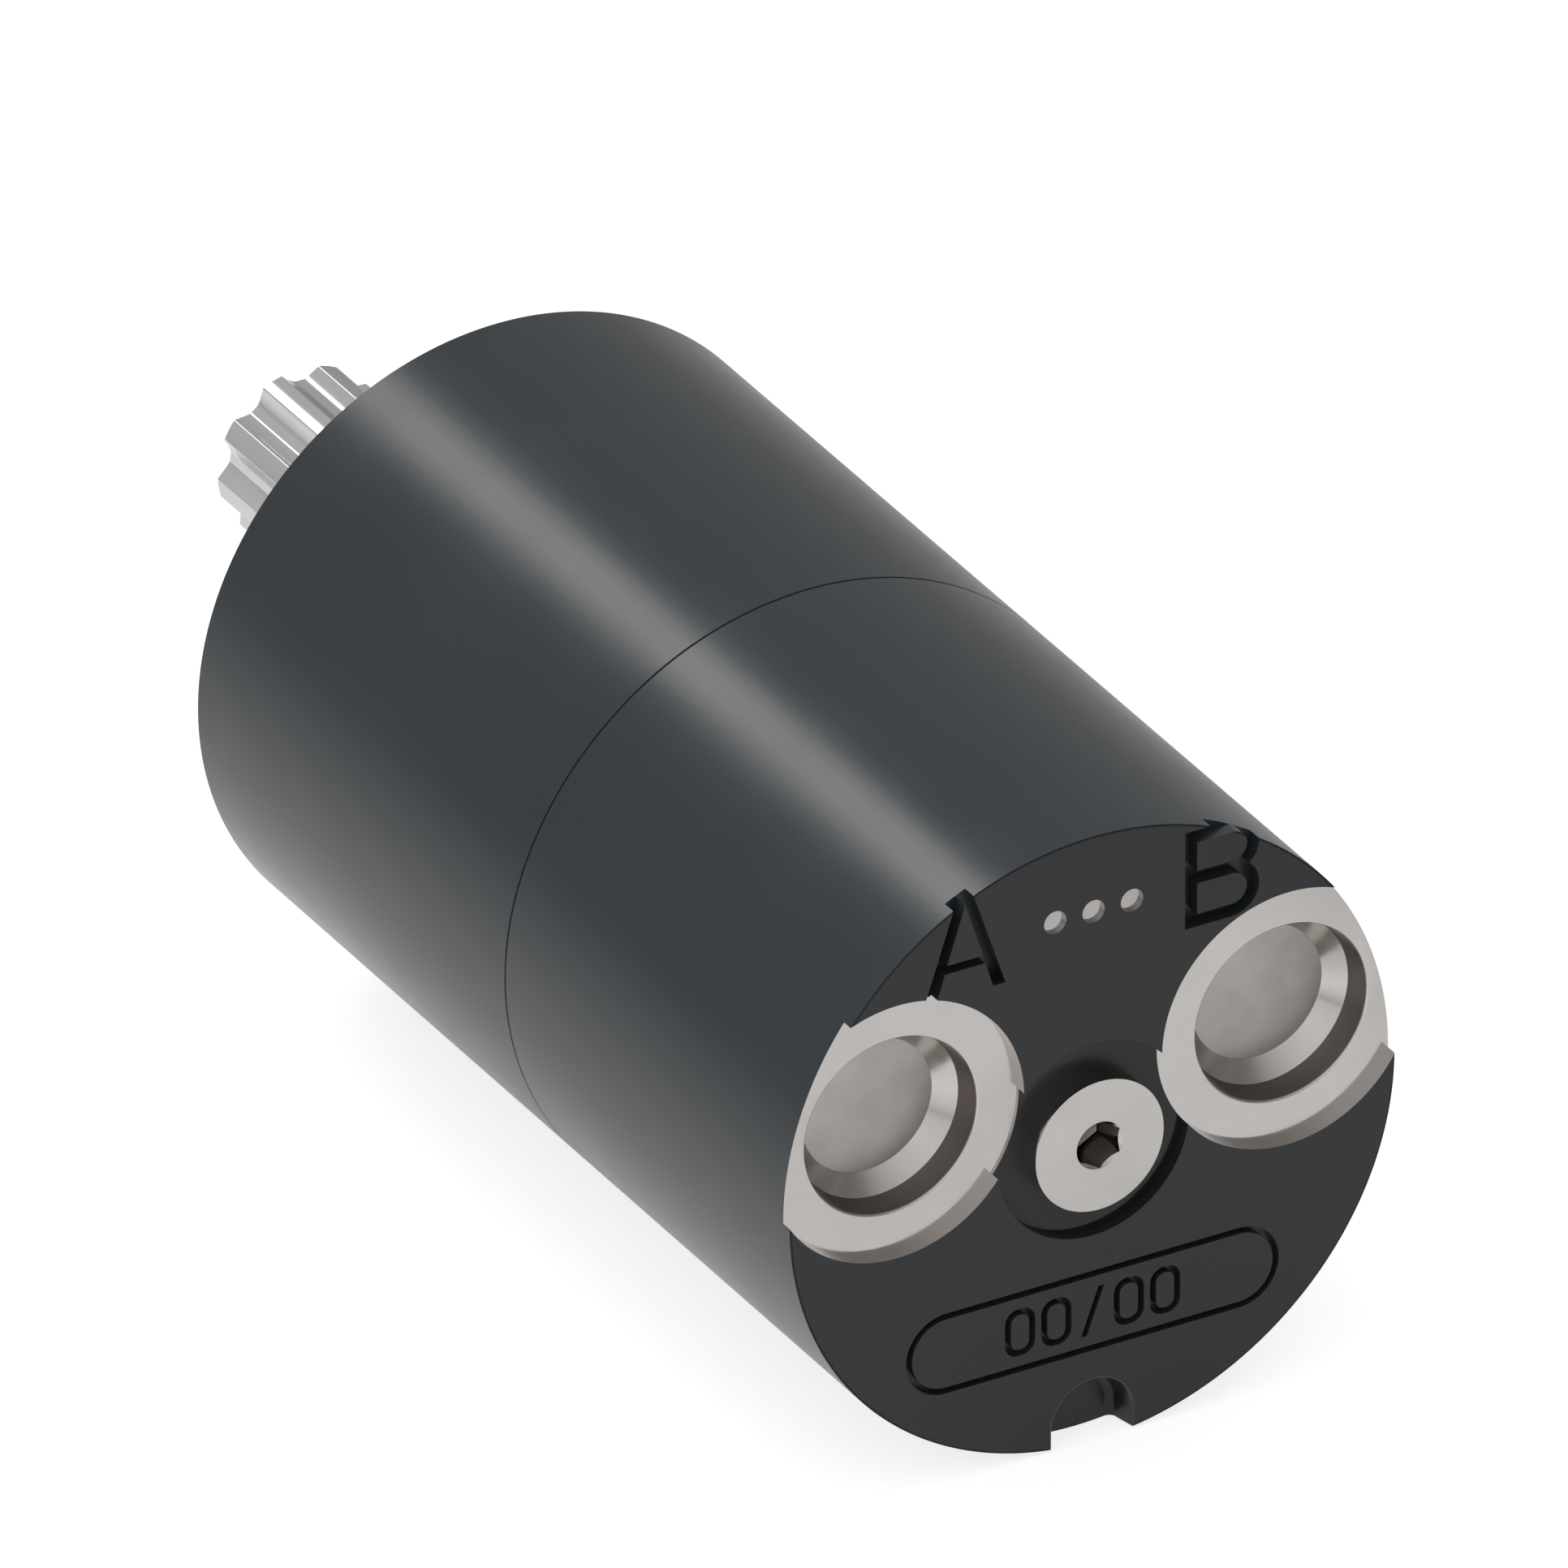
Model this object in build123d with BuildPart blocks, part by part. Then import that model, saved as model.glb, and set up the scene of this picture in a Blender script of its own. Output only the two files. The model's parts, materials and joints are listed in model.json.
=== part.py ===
from build123d import *
from math import atan, cos, degrees, pi, radians, sin, sqrt, tan
import cmath
import os

os.makedirs("parts", exist_ok=True)

# A hydraulic orbital motor. The shaft lies along Y and its splined end points to +Y.
# The mounting face is at Y = 0, and each depth is measured behind it, towards -Y.
# Angles are in degrees from +X towards +Z, seen along +Y. All sizes are in millimetres.

# Outside
body_d = 60.0
front_len = 53.5          # mounting face to seam
bottom_wall = 21.1        # solid end of the port housing
edge_break = 0.1
seam_gap = 0.15
pilot_d = 31.5
pilot_len = 2.2
bolt_count = 3
bolt_circle_d = 45.0
bolt_drill_d = 5.0        # tapping size of M6
bolt_hole_depth = 12.0
first_bolt_angle = 90.0

# Screwed joint between the two housings
spigot_d = 52.0
spigot_len = 9.5
thread_play = 0.02
relief_len = 3.0
o_ring_wire = 1.8

# Gear set: seven rollers in a ring around a six-lobed rotor
roller_count = 7
roller_circle_r = 13.6
roller_r = 3.6
eccentricity = 1.45
gear_width = 10.0
gear_ring_d = 47.9
rotor_play = 0.05         # between rotor flank and rollers
pocket_play = 0.03        # around a roller in its pocket
end_play = 0.02           # at each end of rotor and rollers
tip_gap = 0.2             # rotor tip to ring bore
channel_plate_t = 4.0
end_plate_t = 4.5
stack_play = 0.05         # around the stack in the port housing
dowel_d = 3.0
dowel_circle_r = 21.0
dowel_play = 0.02
dowel_in_housing = 5.0
dowel_in_plate = 2.5

# Drive link, splined into shaft and rotor
link_teeth = 12
link_tip_r = 6.4
link_root_r = 5.2
link_tip_half_angle = 4.0
link_root_half_angle = 9.0
link_head_len = 6.6
link_crown_angle = 3.6
link_shank_r = 4.4
spline_play = 0.15
link_front_depth = 45.5   # middle of the front head
link_rear_inset = 4.0     # middle of the rear head behind the rotor's front face
link_end_gap = 0.35
spacer_play = 0.1
spacer_gap = 0.2          # behind the link's tilted end

# Output shaft
shaft_end = 34.9          # beyond the mounting face
out_teeth = 9
out_tip_r = 8.25
out_root_r = 7.02
out_tip_half_angle = 7.0
out_root_half_angle = 16.5
out_flank_hollow = 0.10
out_first_tooth = 69.5
out_spline_len = 25.0
shaft_chamfer = 0.5
journal_r = 9.0
journal_front = 8.0       # journal starts this far beyond the mounting face
spool_r = 15.0
spool_play = 0.02
spool_groove_w = 3.5
spool_groove_depth = 1.3
slot_w = 4.2
front_groove_depth_in = 36.8
rear_groove_depth_in = 57.8
port_row_depth = 47.3
slot_overlap = 4.0
link_cavity_r = 8.2
shaft_spline_len = 9.0
shaft_relief_r = 6.95
shaft_relief_len = 3.0
drain_drill_r = 2.6
cross_drill_r = 1.2

# Seals and bearings at the front
dust_seal_r = 13.0
dust_seal_len = 4.0
web_len = 1.7
web_r = 9.6
bearing_r = 12.0
shaft_seal_len = 5.0
backup_len = 1.5
seal_lip_gap = 0.03
backup_gap = 0.1
bearing_len = 16.0
bearing_front_gap = 0.4
bearing_rear_gap = 0.6
needle_r = 1.0
needle_count = 16
needle_len = 11.6
needle_gap = 0.01
shell_end_t = 0.8
shell_lip_r = 9.5
cage_t = 0.9
cage_len = 13.6
cage_pocket_play = 0.05
washer_t = 1.0
washer_bore_play = 0.1
washer_rim_play = 0.12
thrust_roller_d = 2.0
thrust_roller_len = 3.4
thrust_roller_count = 18
thrust_circle_r = 12.0
thrust_cage_t = 1.2
thrust_cage_inner_r = 9.3
thrust_cage_outer_r = 14.5
thrust_gap = 0.01

# Oil ways
port_x = 19.35
port_z = 6.4
passage_r = 2.0
chamber_way_circle_r = 18.4
chamber_way_r = 1.5
chamber_mouth_r = 12.2
chamber_groove_depth = 2.0
plate_bore_r = 6.4
drain_way_r = 2.0
floor_recess_r = 13.0
floor_recess_depth = 1.2
passage_seal_wire = 1.4

# Ports in the rear face
spotface_r = 12.5
spotface_depth = 1.15
port_mouth_r = 8.5
port_mouth_break = 0.08
port_seat_r = 8.1
port_seat_depth = 3.7
port_cone_depth = 5.35
port_bore_r = 6.45        # minor size of a 9/16-18 thread
port_bore_depth = 15.6
port_drill_point = 20.0

# Drain plug
plug_recess_r = 9.65
plug_recess_depth = 0.95
plug_head_r = 6.35
plug_proud = 1.15
plug_shank_r = 4.7
plug_thread_play = 0.06
plug_shank_len = 9.0
plug_hole_spare = 1.0
plug_hex = 3.97
plug_hex_depth = 4.0
plug_head_break = 0.1
plug_seal_wire = 1.45

# Check valves between case drain and each port
valve_x = 8.7
valve_z = -3.2
valve_pocket_r = 2.9
valve_pocket_depth = 9.6
seat_t = 2.5
seat_hole_r = 1.3
seat_chamfer = 0.6
valve_ball_r = 2.0
ball_gap = 0.03
valve_spring_r = 1.25
valve_wire_r = 0.25
valve_spring_turns = 4
valve_way_r = 1.0

# Rear face details
dot_pitch = 3.8
dot_z = 22.6
dot_r = 1.1
dot_depth = 0.75
label_z = -16.9
label_len = 36.9
label_h = 7.9
label_groove_w = 0.65
label_groove_depth = 0.35
notch_half_w = 4.05
notch_arc_z = -27.9
notch_depth = 3.0
notch_draft = 10.0
notch_corner = 0.8

# Places that follow from the sizes above
body_r = body_d / 2
housing_face = front_len + spigot_len
ring_face = housing_face + channel_plate_t
end_plate_face = ring_face + gear_width
floor_face = end_plate_face + end_plate_t
body_len = floor_face + bottom_wall
stack_r = gear_ring_d / 2
cavity_r = stack_r + stack_play
roller_pitch = 360 / roller_count
first_roller_angle = 90 - roller_pitch / 2
passage_circle_r = sqrt(port_x**2 + port_z**2)
link_rear_depth = ring_face + link_rear_inset
link_tilt = degrees(atan(eccentricity / (link_rear_depth - link_front_depth)))
seal_start = dust_seal_len - pilot_len + web_len
bearing_start = seal_start + shaft_seal_len + backup_len + bearing_front_gap
thrust_start = bearing_start + bearing_len + bearing_rear_gap
roller_space_start = thrust_start + washer_t
roller_space_end = roller_space_start + thrust_roller_d
spool_start = roller_space_end + washer_t
spool_bore_r = spool_r + spool_play
raceway_r = journal_r + 2 * needle_r + 2 * needle_gap
spacer_start = link_rear_depth + link_head_len / 2 + link_tip_r * sin(radians(link_tilt)) + spacer_gap
spacer_end = end_plate_face - end_play
link_front_end = link_front_depth - link_head_len / 2 - link_end_gap
shaft_spline_start = link_front_depth - shaft_spline_len / 2
valve_floor = floor_face + floor_recess_depth
cone_start = valve_floor + seat_t - seat_chamfer
ball_depth = cone_start - seat_hole_r + sqrt(2) * (valve_ball_r + ball_gap)


def at(radius, angle):
    return (radius * cos(radians(angle)), radius * sin(radians(angle)))


def behind(depth):
    """The plane at a depth behind the mounting face; extrusions from it go rearwards."""
    return Plane.XZ.offset(depth)


def half_section(*points):
    """A closed outline of (radius, depth) points, to be revolved about the shaft axis."""
    with BuildSketch(Plane.XY) as section:
        with BuildLine():
            Polyline(*[(radius, -depth) for radius, depth in points], close=True)
        make_face()
    return section.sketch


def spline_outline(teeth, root_r, tip_r, root_half, tip_half, hollow=0.0, first=0.0):
    """The outline of an external spline; a small sagitta can hollow its flanks."""
    low, high = at(root_r - 0.05, -root_half), at(tip_r, -tip_half)
    low_left, high_left = (low[0], -low[1]), (high[0], -high[1])
    with BuildSketch() as tooth:
        with BuildLine():
            if hollow:
                SagittaArc(low, high, hollow)
                SagittaArc(high_left, low_left, hollow)
            else:
                Line(low, high)
                Line(high_left, low_left)
            ThreePointArc(high, (tip_r, 0), high_left)
            Polyline(low_left, (0, 0), low)
        make_face()
    with BuildSketch() as outline:
        Circle(root_r)
        with PolarLocations(0, teeth, start_angle=first):
            add(tooth.sketch)
    return outline.sketch


def tooth_polygon(teeth, root_r, tip_r, root_half, tip_half, play=0.0):
    """The outline of a spline with straight flanks, tips and valleys, widened by a play."""
    root_half += degrees(play / root_r)
    tip_half += degrees(play / tip_r)
    root_r += play
    tip_r += play
    corners = [(root_r, -root_half), (tip_r, -tip_half), (tip_r, tip_half), (root_r, root_half)]
    with BuildSketch() as outline:
        with BuildLine():
            Polyline(*[at(radius, angle + k * 360 / teeth) for k in range(teeth)
                       for radius, angle in corners], close=True)
        make_face()
    return outline.sketch


def ring(outer, inner, start, end):
    """A plain ring on the shaft axis between two depths."""
    with BuildPart() as piece:
        with BuildSketch(behind(start)):
            Circle(outer)
            Circle(inner, mode=Mode.SUBTRACT)
        extrude(amount=end - start)
    return piece


def o_ring(centre, wire, *places):
    """O-rings about axes along Y, one at each (x, depth, z) place, squeezed flat on eight sides."""
    with BuildPart() as rings:
        for x, depth, z in places:
            with BuildSketch(Plane((x, -depth, z))) as section:
                with Locations((centre, 0)):
                    RegularPolygon(wire / 2, 8, major_radius=False, rotation=22.5)
            revolve(axis=Axis((x, -depth, z), (0, 1, 0)))
    return rings


def port_section(x, z):
    """Half section of a port about its own axis: spotface, thread mouth, seat, bore."""
    plane = Plane((x, -body_len, z), x_dir=(1, 0, 0), z_dir=(0, 0, 1))
    tip = port_bore_depth + port_bore_r * tan(radians(port_drill_point))
    with BuildSketch(plane) as section:
        with BuildLine():
            Polyline((0, tip), (0, -1), (spotface_r, -1), (spotface_r, spotface_depth),
                     (port_mouth_r + port_mouth_break, spotface_depth),
                     (port_mouth_r, spotface_depth + port_mouth_break), (port_seat_r, port_seat_depth),
                     (port_bore_r, port_cone_depth), (port_bore_r, port_bore_depth), close=True)
        make_face()
    return section.sketch


passage_angles = [degrees(pi) - degrees(atan(port_z / port_x)), degrees(atan(port_z / port_x))]
chamber_angles = [90 + k * roller_pitch for k in range(roller_count)]
roller_angles = [first_roller_angle + k * roller_pitch for k in range(roller_count)]
bolt_angles = [first_bolt_angle + k * 360 / bolt_count for k in range(bolt_count)]
passages = [at(passage_circle_r, angle) for angle in passage_angles]
dowels = [at(dowel_circle_r, 90), at(dowel_circle_r, 270)]
groove_depths = [front_groove_depth_in, rear_groove_depth_in]

# Front housing: pilot, seal and bearing bores, spool bore, oil ways and spigot
o_ring_seat_r = spigot_d / 2 - o_ring_wire
with BuildPart() as front_housing:
    revolve(half_section(
        (web_r, -pilot_len + dust_seal_len), (dust_seal_r, -pilot_len + dust_seal_len),
        (dust_seal_r, -pilot_len), (pilot_d / 2, -pilot_len), (pilot_d / 2, 0),
        (body_r - edge_break, 0), (body_r, edge_break), (body_r, front_len),
        (spigot_d / 2, front_len), (spigot_d / 2, front_len + 0.6),
        (o_ring_seat_r, front_len + 0.6), (o_ring_seat_r, front_len + 0.6 + o_ring_wire * 1.2),
        (spigot_d / 2, front_len + 0.6 + o_ring_wire * 1.2), (spigot_d / 2, housing_face - edge_break),
        (spigot_d / 2 - edge_break, housing_face), (spool_bore_r, housing_face),
        (spool_bore_r, thrust_start), (bearing_r, thrust_start), (bearing_r, seal_start),
        (web_r, seal_start)), axis=Axis.Y)
    chamfer(front_housing.edges().filter_by(GeomType.CIRCLE).group_by(Axis.Y)[-1].sort_by(SortBy.RADIUS)[-1],
            length=0.4)
    with BuildSketch(behind(0)):
        with Locations(*[at(bolt_circle_d / 2, angle) for angle in bolt_angles]):
            Circle(bolt_drill_d / 2)
    extrude(amount=bolt_hole_depth, mode=Mode.SUBTRACT)
    for (x, z), angle, depth in zip(passages, passage_angles, groove_depths):
        with BuildSketch(behind(housing_face)):
            with Locations((x, z)):
                Circle(passage_r)
        extrude(amount=depth - housing_face, mode=Mode.SUBTRACT)
        inward = Vector(-x, 0, -z)
        with BuildSketch(Plane((x, -depth, z), z_dir=inward)):
            Circle(passage_r * 0.85)
        extrude(amount=passage_circle_r - spool_r + 1, mode=Mode.SUBTRACT)
    for angle in chamber_angles:
        x, z = at(chamber_way_circle_r, angle)
        with BuildSketch(behind(housing_face)):
            with Locations((x, z)):
                Circle(chamber_way_r)
        extrude(amount=port_row_depth - housing_face, mode=Mode.SUBTRACT)
        with BuildSketch(Plane((x, -port_row_depth, z), z_dir=(-x, 0, -z))):
            Circle(chamber_way_r * 1.1)
        extrude(amount=chamber_way_circle_r - spool_r + 1, mode=Mode.SUBTRACT)
    with BuildSketch(behind(housing_face - dowel_in_housing)):
        with Locations(*dowels):
            Circle(dowel_d / 2 + dowel_play)
    extrude(amount=dowel_in_housing, mode=Mode.SUBTRACT)
front_housing.part.label = "front_housing"
export_step(front_housing.part, "parts/front_housing.step")

# Port housing: a cup screwed over the spigot, with both ports and the drain in its end
with BuildPart() as port_housing:
    skirt_r = spigot_d / 2 + thread_play
    plug_floor = body_len - plug_recess_depth
    seal_r = plug_shank_r + plug_seal_wire
    hole_r = plug_shank_r + plug_thread_play
    hole_end = plug_floor - plug_shank_len - plug_hole_spare
    revolve(half_section(
        (0, body_len), (body_r - edge_break, body_len), (body_r, body_len - edge_break),
        (body_r, front_len + seam_gap), (skirt_r, front_len + seam_gap),
        (skirt_r, housing_face), (cavity_r, housing_face), (cavity_r, floor_face),
        (floor_recess_r, floor_face), (floor_recess_r, valve_floor), (0, valve_floor)), axis=Axis.Y)
    for side in (-1, 1):
        revolve(port_section(side * port_x, port_z), mode=Mode.SUBTRACT,
                axis=Axis((side * port_x, -body_len, port_z), (0, 1, 0)))
    # Recess, seal seat, tapped hole and drain way for the plug
    with BuildSketch(behind(body_len + 1)):
        Circle(plug_recess_r)
    extrude(amount=-1 - plug_recess_depth, mode=Mode.SUBTRACT)
    revolve(half_section(
        (0, plug_floor + 0.5), (seal_r, plug_floor + 0.5), (seal_r, plug_floor - plug_seal_wire * 0.98),
        (hole_r, plug_floor - plug_seal_wire * 0.98), (hole_r, hole_end), (drain_way_r, hole_end - 1.6),
        (drain_way_r, valve_floor - 1), (0, valve_floor - 1)), axis=Axis.Y, mode=Mode.SUBTRACT)
    # Ways from the ports to the stack, each with a seat for its seal
    for x, z in passages:
        with BuildSketch(behind(floor_face)):
            with Locations((x, z)):
                Circle(passage_r)
        extrude(amount=body_len - port_bore_depth - floor_face, mode=Mode.SUBTRACT)
        with BuildSketch(behind(floor_face)):
            with Locations((x, z)):
                Circle(passage_r + passage_seal_wire)
        extrude(amount=passage_seal_wire * 0.98, mode=Mode.SUBTRACT)
    # Pockets of the two check valves, each with a way into its port
    for side in (-1, 1):
        with BuildSketch(behind(valve_floor)):
            with Locations((side * valve_x, valve_z)):
                Circle(valve_pocket_r)
        extrude(amount=valve_pocket_depth, mode=Mode.SUBTRACT)
        way_depth = valve_floor + valve_pocket_depth - valve_way_r - 0.3
        to_port = Vector(side * (port_x - valve_x), 0, port_z - valve_z)
        with BuildSketch(Plane((side * valve_x, -way_depth, valve_z), z_dir=to_port)):
            Circle(valve_way_r)
        extrude(amount=to_port.length, mode=Mode.SUBTRACT)
    # Three dots above the ports and the label groove below them
    with BuildSketch(behind(body_len)):
        with Locations(*[(k * dot_pitch, dot_z) for k in (-1, 0, 1)]):
            Circle(dot_r)
    extrude(amount=-dot_depth, mode=Mode.SUBTRACT)
    with BuildSketch(behind(body_len)):
        with Locations((0, label_z)):
            SlotOverall(label_len, label_h)
            SlotOverall(label_len - 2 * label_groove_w, label_h - 2 * label_groove_w, mode=Mode.SUBTRACT)
    extrude(amount=-label_groove_depth, mode=Mode.SUBTRACT)
# The notch in the lower rim is a cast shape with drafted walls
with BuildPart() as notch:
    with BuildSketch(behind(body_len)):
        with Locations((0, notch_arc_z)):
            Circle(notch_half_w)
        with Locations((0, notch_arc_z - notch_half_w)):
            Rectangle(2 * notch_half_w, 2 * notch_half_w)
    extrude(amount=-notch_depth, taper=notch_draft)
    fillet(notch.faces().sort_by(Axis.Y)[-1].edges(), radius=notch_corner)
with BuildPart() as finished_port_housing:
    add(port_housing.part)
    add(notch.part, mode=Mode.SUBTRACT)
finished_port_housing.part.label = "port_housing"
export_step(finished_port_housing.part, "parts/port_housing.step")

# Seals and bearings in the front housing
seal_front = -pilot_len
with BuildPart() as dust_seal:
    lip_r = journal_r + seal_lip_gap
    back = seal_front + dust_seal_len - 0.3
    revolve(half_section(
        (dust_seal_r, seal_front + 0.3), (dust_seal_r, back), (journal_r + 1.4, back),
        (journal_r + 1.4, back - 0.8), (lip_r, back - 1.4), (lip_r, back - 1.7), (journal_r + 1.0, back - 2.0),
        (lip_r, seal_front - 0.1), (lip_r + 0.3, seal_front - 0.3), (journal_r + 1.9, seal_front + 0.9),
        (dust_seal_r - 1.0, seal_front + 0.9), (dust_seal_r - 1.0, seal_front + 0.3)), axis=Axis.Y)
dust_seal.part.label = "dust_seal"
export_step(dust_seal.part, "parts/dust_seal.step")

with BuildPart() as shaft_seal:
    back = seal_start + shaft_seal_len - 0.2
    front = seal_start + 0.05
    revolve(half_section(
        (bearing_r, front), (bearing_r, back), (bearing_r - 0.8, back), (bearing_r - 1.0, front + 1.3),
        (journal_r + 1.1, front + 1.3), (journal_r + 0.9, back - 0.3), (journal_r + 0.3, back),
        (lip_r, back - 0.5), (lip_r, back - 0.9), (journal_r + 0.25, front + 1.2),
        (journal_r + 0.25, front)), axis=Axis.Y)
shaft_seal.part.label = "shaft_seal"
export_step(shaft_seal.part, "parts/shaft_seal.step")

backup_start = seal_start + shaft_seal_len - 0.2
seal_backup_ring = ring(bearing_r, journal_r + backup_gap, backup_start, backup_start + backup_len)
seal_backup_ring.part.label = "seal_backup_ring"
export_step(seal_backup_ring.part, "parts/seal_backup_ring.step")

bearing_end = bearing_start + bearing_len
with BuildPart() as needle_bearing_shell:
    revolve(half_section(
        (shell_lip_r, bearing_start), (bearing_r - 0.4, bearing_start), (bearing_r, bearing_start + 0.4),
        (bearing_r, bearing_end - 0.4), (bearing_r - 0.4, bearing_end), (shell_lip_r, bearing_end),
        (shell_lip_r, bearing_end - shell_end_t), (raceway_r, bearing_end - shell_end_t),
        (raceway_r, bearing_start + shell_end_t), (shell_lip_r, bearing_start + shell_end_t)), axis=Axis.Y)
needle_bearing_shell.part.label = "needle_bearing_shell"
export_step(needle_bearing_shell.part, "parts/needle_bearing_shell.step")

needle_circle_r = journal_r + needle_r + needle_gap
bearing_middle = (bearing_start + bearing_end) / 2
cage_start = bearing_middle - cage_len / 2
with BuildPart() as needle_bearing_cage:
    with BuildSketch(behind(cage_start)):
        Circle(needle_circle_r + cage_t / 2)
        Circle(needle_circle_r - cage_t / 2, mode=Mode.SUBTRACT)
    extrude(amount=cage_len)
    with BuildSketch(behind(bearing_middle - needle_len / 2 - cage_pocket_play)):
        with PolarLocations(needle_circle_r, needle_count):
            Rectangle(2 * cage_t, 2 * (needle_r + cage_pocket_play))
    extrude(amount=needle_len + 2 * cage_pocket_play, mode=Mode.SUBTRACT)
needle_bearing_cage.part.label = "needle_bearing_cage"
export_step(needle_bearing_cage.part, "parts/needle_bearing_cage.step")

with BuildPart() as needle_rollers:
    with BuildSketch(behind(bearing_middle - needle_len / 2)):
        with PolarLocations(needle_circle_r, needle_count):
            Circle(needle_r)
    extrude(amount=needle_len)
needle_rollers.part.label = "needle_rollers"
export_step(needle_rollers.part, "parts/needle_rollers.step")

washer_bore_r = journal_r + washer_bore_play
washer_rim_r = spool_bore_r - washer_rim_play
thrust_washer_front = ring(washer_rim_r, washer_bore_r, thrust_start, roller_space_start)
thrust_washer_front.part.label = "thrust_washer_front"
export_step(thrust_washer_front.part, "parts/thrust_washer_front.step")

thrust_washer_rear = ring(washer_rim_r, washer_bore_r, roller_space_end, spool_start)
thrust_washer_rear.part.label = "thrust_washer_rear"
export_step(thrust_washer_rear.part, "parts/thrust_washer_rear.step")

thrust_middle = (roller_space_start + roller_space_end) / 2
with BuildPart() as thrust_cage:
    with BuildSketch(behind(thrust_middle - thrust_cage_t / 2)):
        Circle(thrust_cage_outer_r)
        Circle(thrust_cage_inner_r, mode=Mode.SUBTRACT)
        with PolarLocations(thrust_circle_r, thrust_roller_count):
            Rectangle(thrust_roller_len + 2 * cage_pocket_play, thrust_roller_d + 2 * cage_pocket_play,
                      mode=Mode.SUBTRACT)
    extrude(amount=thrust_cage_t)
thrust_cage.part.label = "thrust_cage"
export_step(thrust_cage.part, "parts/thrust_cage.step")

with BuildPart() as thrust_rollers:
    for k in range(thrust_roller_count):
        x, z = at(thrust_circle_r - thrust_roller_len / 2, k * 360 / thrust_roller_count)
        with BuildSketch(Plane((x, -thrust_middle, z), z_dir=(x, 0, z))):
            Circle(thrust_roller_d / 2 - thrust_gap)
        extrude(amount=thrust_roller_len)
thrust_rollers.part.label = "thrust_rollers"
export_step(thrust_rollers.part, "parts/thrust_rollers.step")

# Output shaft: splined end, journal, and the hollow valve spool with its twelve slots
out_outline = spline_outline(out_teeth, out_root_r, out_tip_r, out_root_half_angle, out_tip_half_angle,
                             out_flank_hollow, out_first_tooth)
link_outline = tooth_polygon(link_teeth, link_root_r, link_tip_r, link_root_half_angle,
                             link_tip_half_angle)
link_bore = tooth_polygon(link_teeth, link_root_r, link_tip_r, link_root_half_angle,
                          link_tip_half_angle, spline_play)
spool_end = housing_face - end_play * 5
slot_count = roller_count - 1
# The slots open each chamber to its port a quarter of an orbit after its smallest volume.
slot_phase = (roller_count * 90 - 90 - 90) / slot_count
half_groove = spool_groove_w / 2
with BuildPart() as output_shaft:
    cavity_front = link_front_end - 0.6
    revolve(half_section(
        (0, -shaft_end + out_spline_len), (out_tip_r, -shaft_end + out_spline_len),
        (journal_r, -journal_front), (journal_r, spool_start), (spool_r - 0.4, spool_start),
        (spool_r, spool_start + 0.4), (spool_r, spool_end - 0.4), (spool_r - 0.4, spool_end),
        (link_cavity_r + 0.6, spool_end), (link_cavity_r, spool_end - 0.6),
        (link_cavity_r, shaft_spline_start + shaft_spline_len + 0.8),
        (link_root_r, shaft_spline_start + shaft_spline_len - 0.8), (link_root_r, shaft_spline_start),
        (shaft_relief_r, shaft_spline_start), (shaft_relief_r, shaft_spline_start - shaft_relief_len),
        (drain_drill_r, cavity_front), (drain_drill_r, spool_start + 1), (0, spool_start + 0.3)),
        axis=Axis.Y)
    with BuildSketch(behind(-shaft_end)):
        add(out_outline)
    extrude(amount=out_spline_len)
    with BuildSketch(behind(shaft_spline_start)):
        add(link_bore)
    extrude(amount=shaft_spline_len + 0.8, mode=Mode.SUBTRACT)
    # Two ring grooves, each feeding every other slot
    for depth in groove_depths:
        with BuildSketch(behind(depth - half_groove)):
            Circle(spool_r + 1)
            Circle(spool_r - spool_groove_depth, mode=Mode.SUBTRACT)
        extrude(amount=spool_groove_w, mode=Mode.SUBTRACT)
    slot_ends = [(front_groove_depth_in, port_row_depth + slot_overlap),
                 (port_row_depth - slot_overlap, rear_groove_depth_in)]
    for group, (start, end) in enumerate(slot_ends):
        with BuildSketch(behind(start)):
            with PolarLocations(spool_r - spool_groove_depth + 1, slot_count,
                                start_angle=slot_phase + group * 180 / slot_count):
                Rectangle(2, slot_w)
        extrude(amount=end - start, mode=Mode.SUBTRACT)
    with BuildSketch(Plane((0, -(spool_start + 2.2), 0), z_dir=(0, 0, 1))):
        Circle(cross_drill_r)
    extrude(amount=spool_r + 1, mode=Mode.SUBTRACT)
    # Turned chamfer on the splined end
    with BuildSketch(Plane.XY):
        with BuildLine():
            Polyline((out_tip_r - shaft_chamfer, shaft_end), (out_tip_r + 0.1, shaft_end),
                     (out_tip_r + 0.1, shaft_end - shaft_chamfer - 0.1), close=True)
        make_face()
    revolve(axis=Axis.Y, mode=Mode.SUBTRACT)
output_shaft.part.label = "output_shaft"
export_step(output_shaft.part, "parts/output_shaft.step")

# Drive link: a short cardan shaft, tilted between the shaft axis and the rotor axis
link_front = Vector(0, -link_front_depth, 0)
link_rear = Vector(0, -link_rear_depth, eccentricity)
link_axis = link_rear - link_front
half_head = link_head_len / 2
with BuildPart() as drive_link:
    for centre in (link_front, link_rear):
        for way in (1, -1):
            with BuildSketch(Plane(centre, x_dir=(1, 0, 0), z_dir=link_axis)):
                add(link_outline)
            extrude(amount=way * half_head, taper=link_crown_angle)
    with BuildSketch(Plane(link_front, x_dir=(1, 0, 0), z_dir=link_axis)):
        Circle(link_shank_r)
    extrude(amount=link_axis.length)
    for centre, way in ((link_front, -1), (link_rear, 1)):
        with BuildSketch(Plane(centre, x_dir=(1, 0, 0), z_dir=link_axis)):
            Circle(link_shank_r)
        extrude(amount=way * half_head)
drive_link.part.label = "drive_link"
export_step(drive_link.part, "parts/drive_link.step")

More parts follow.
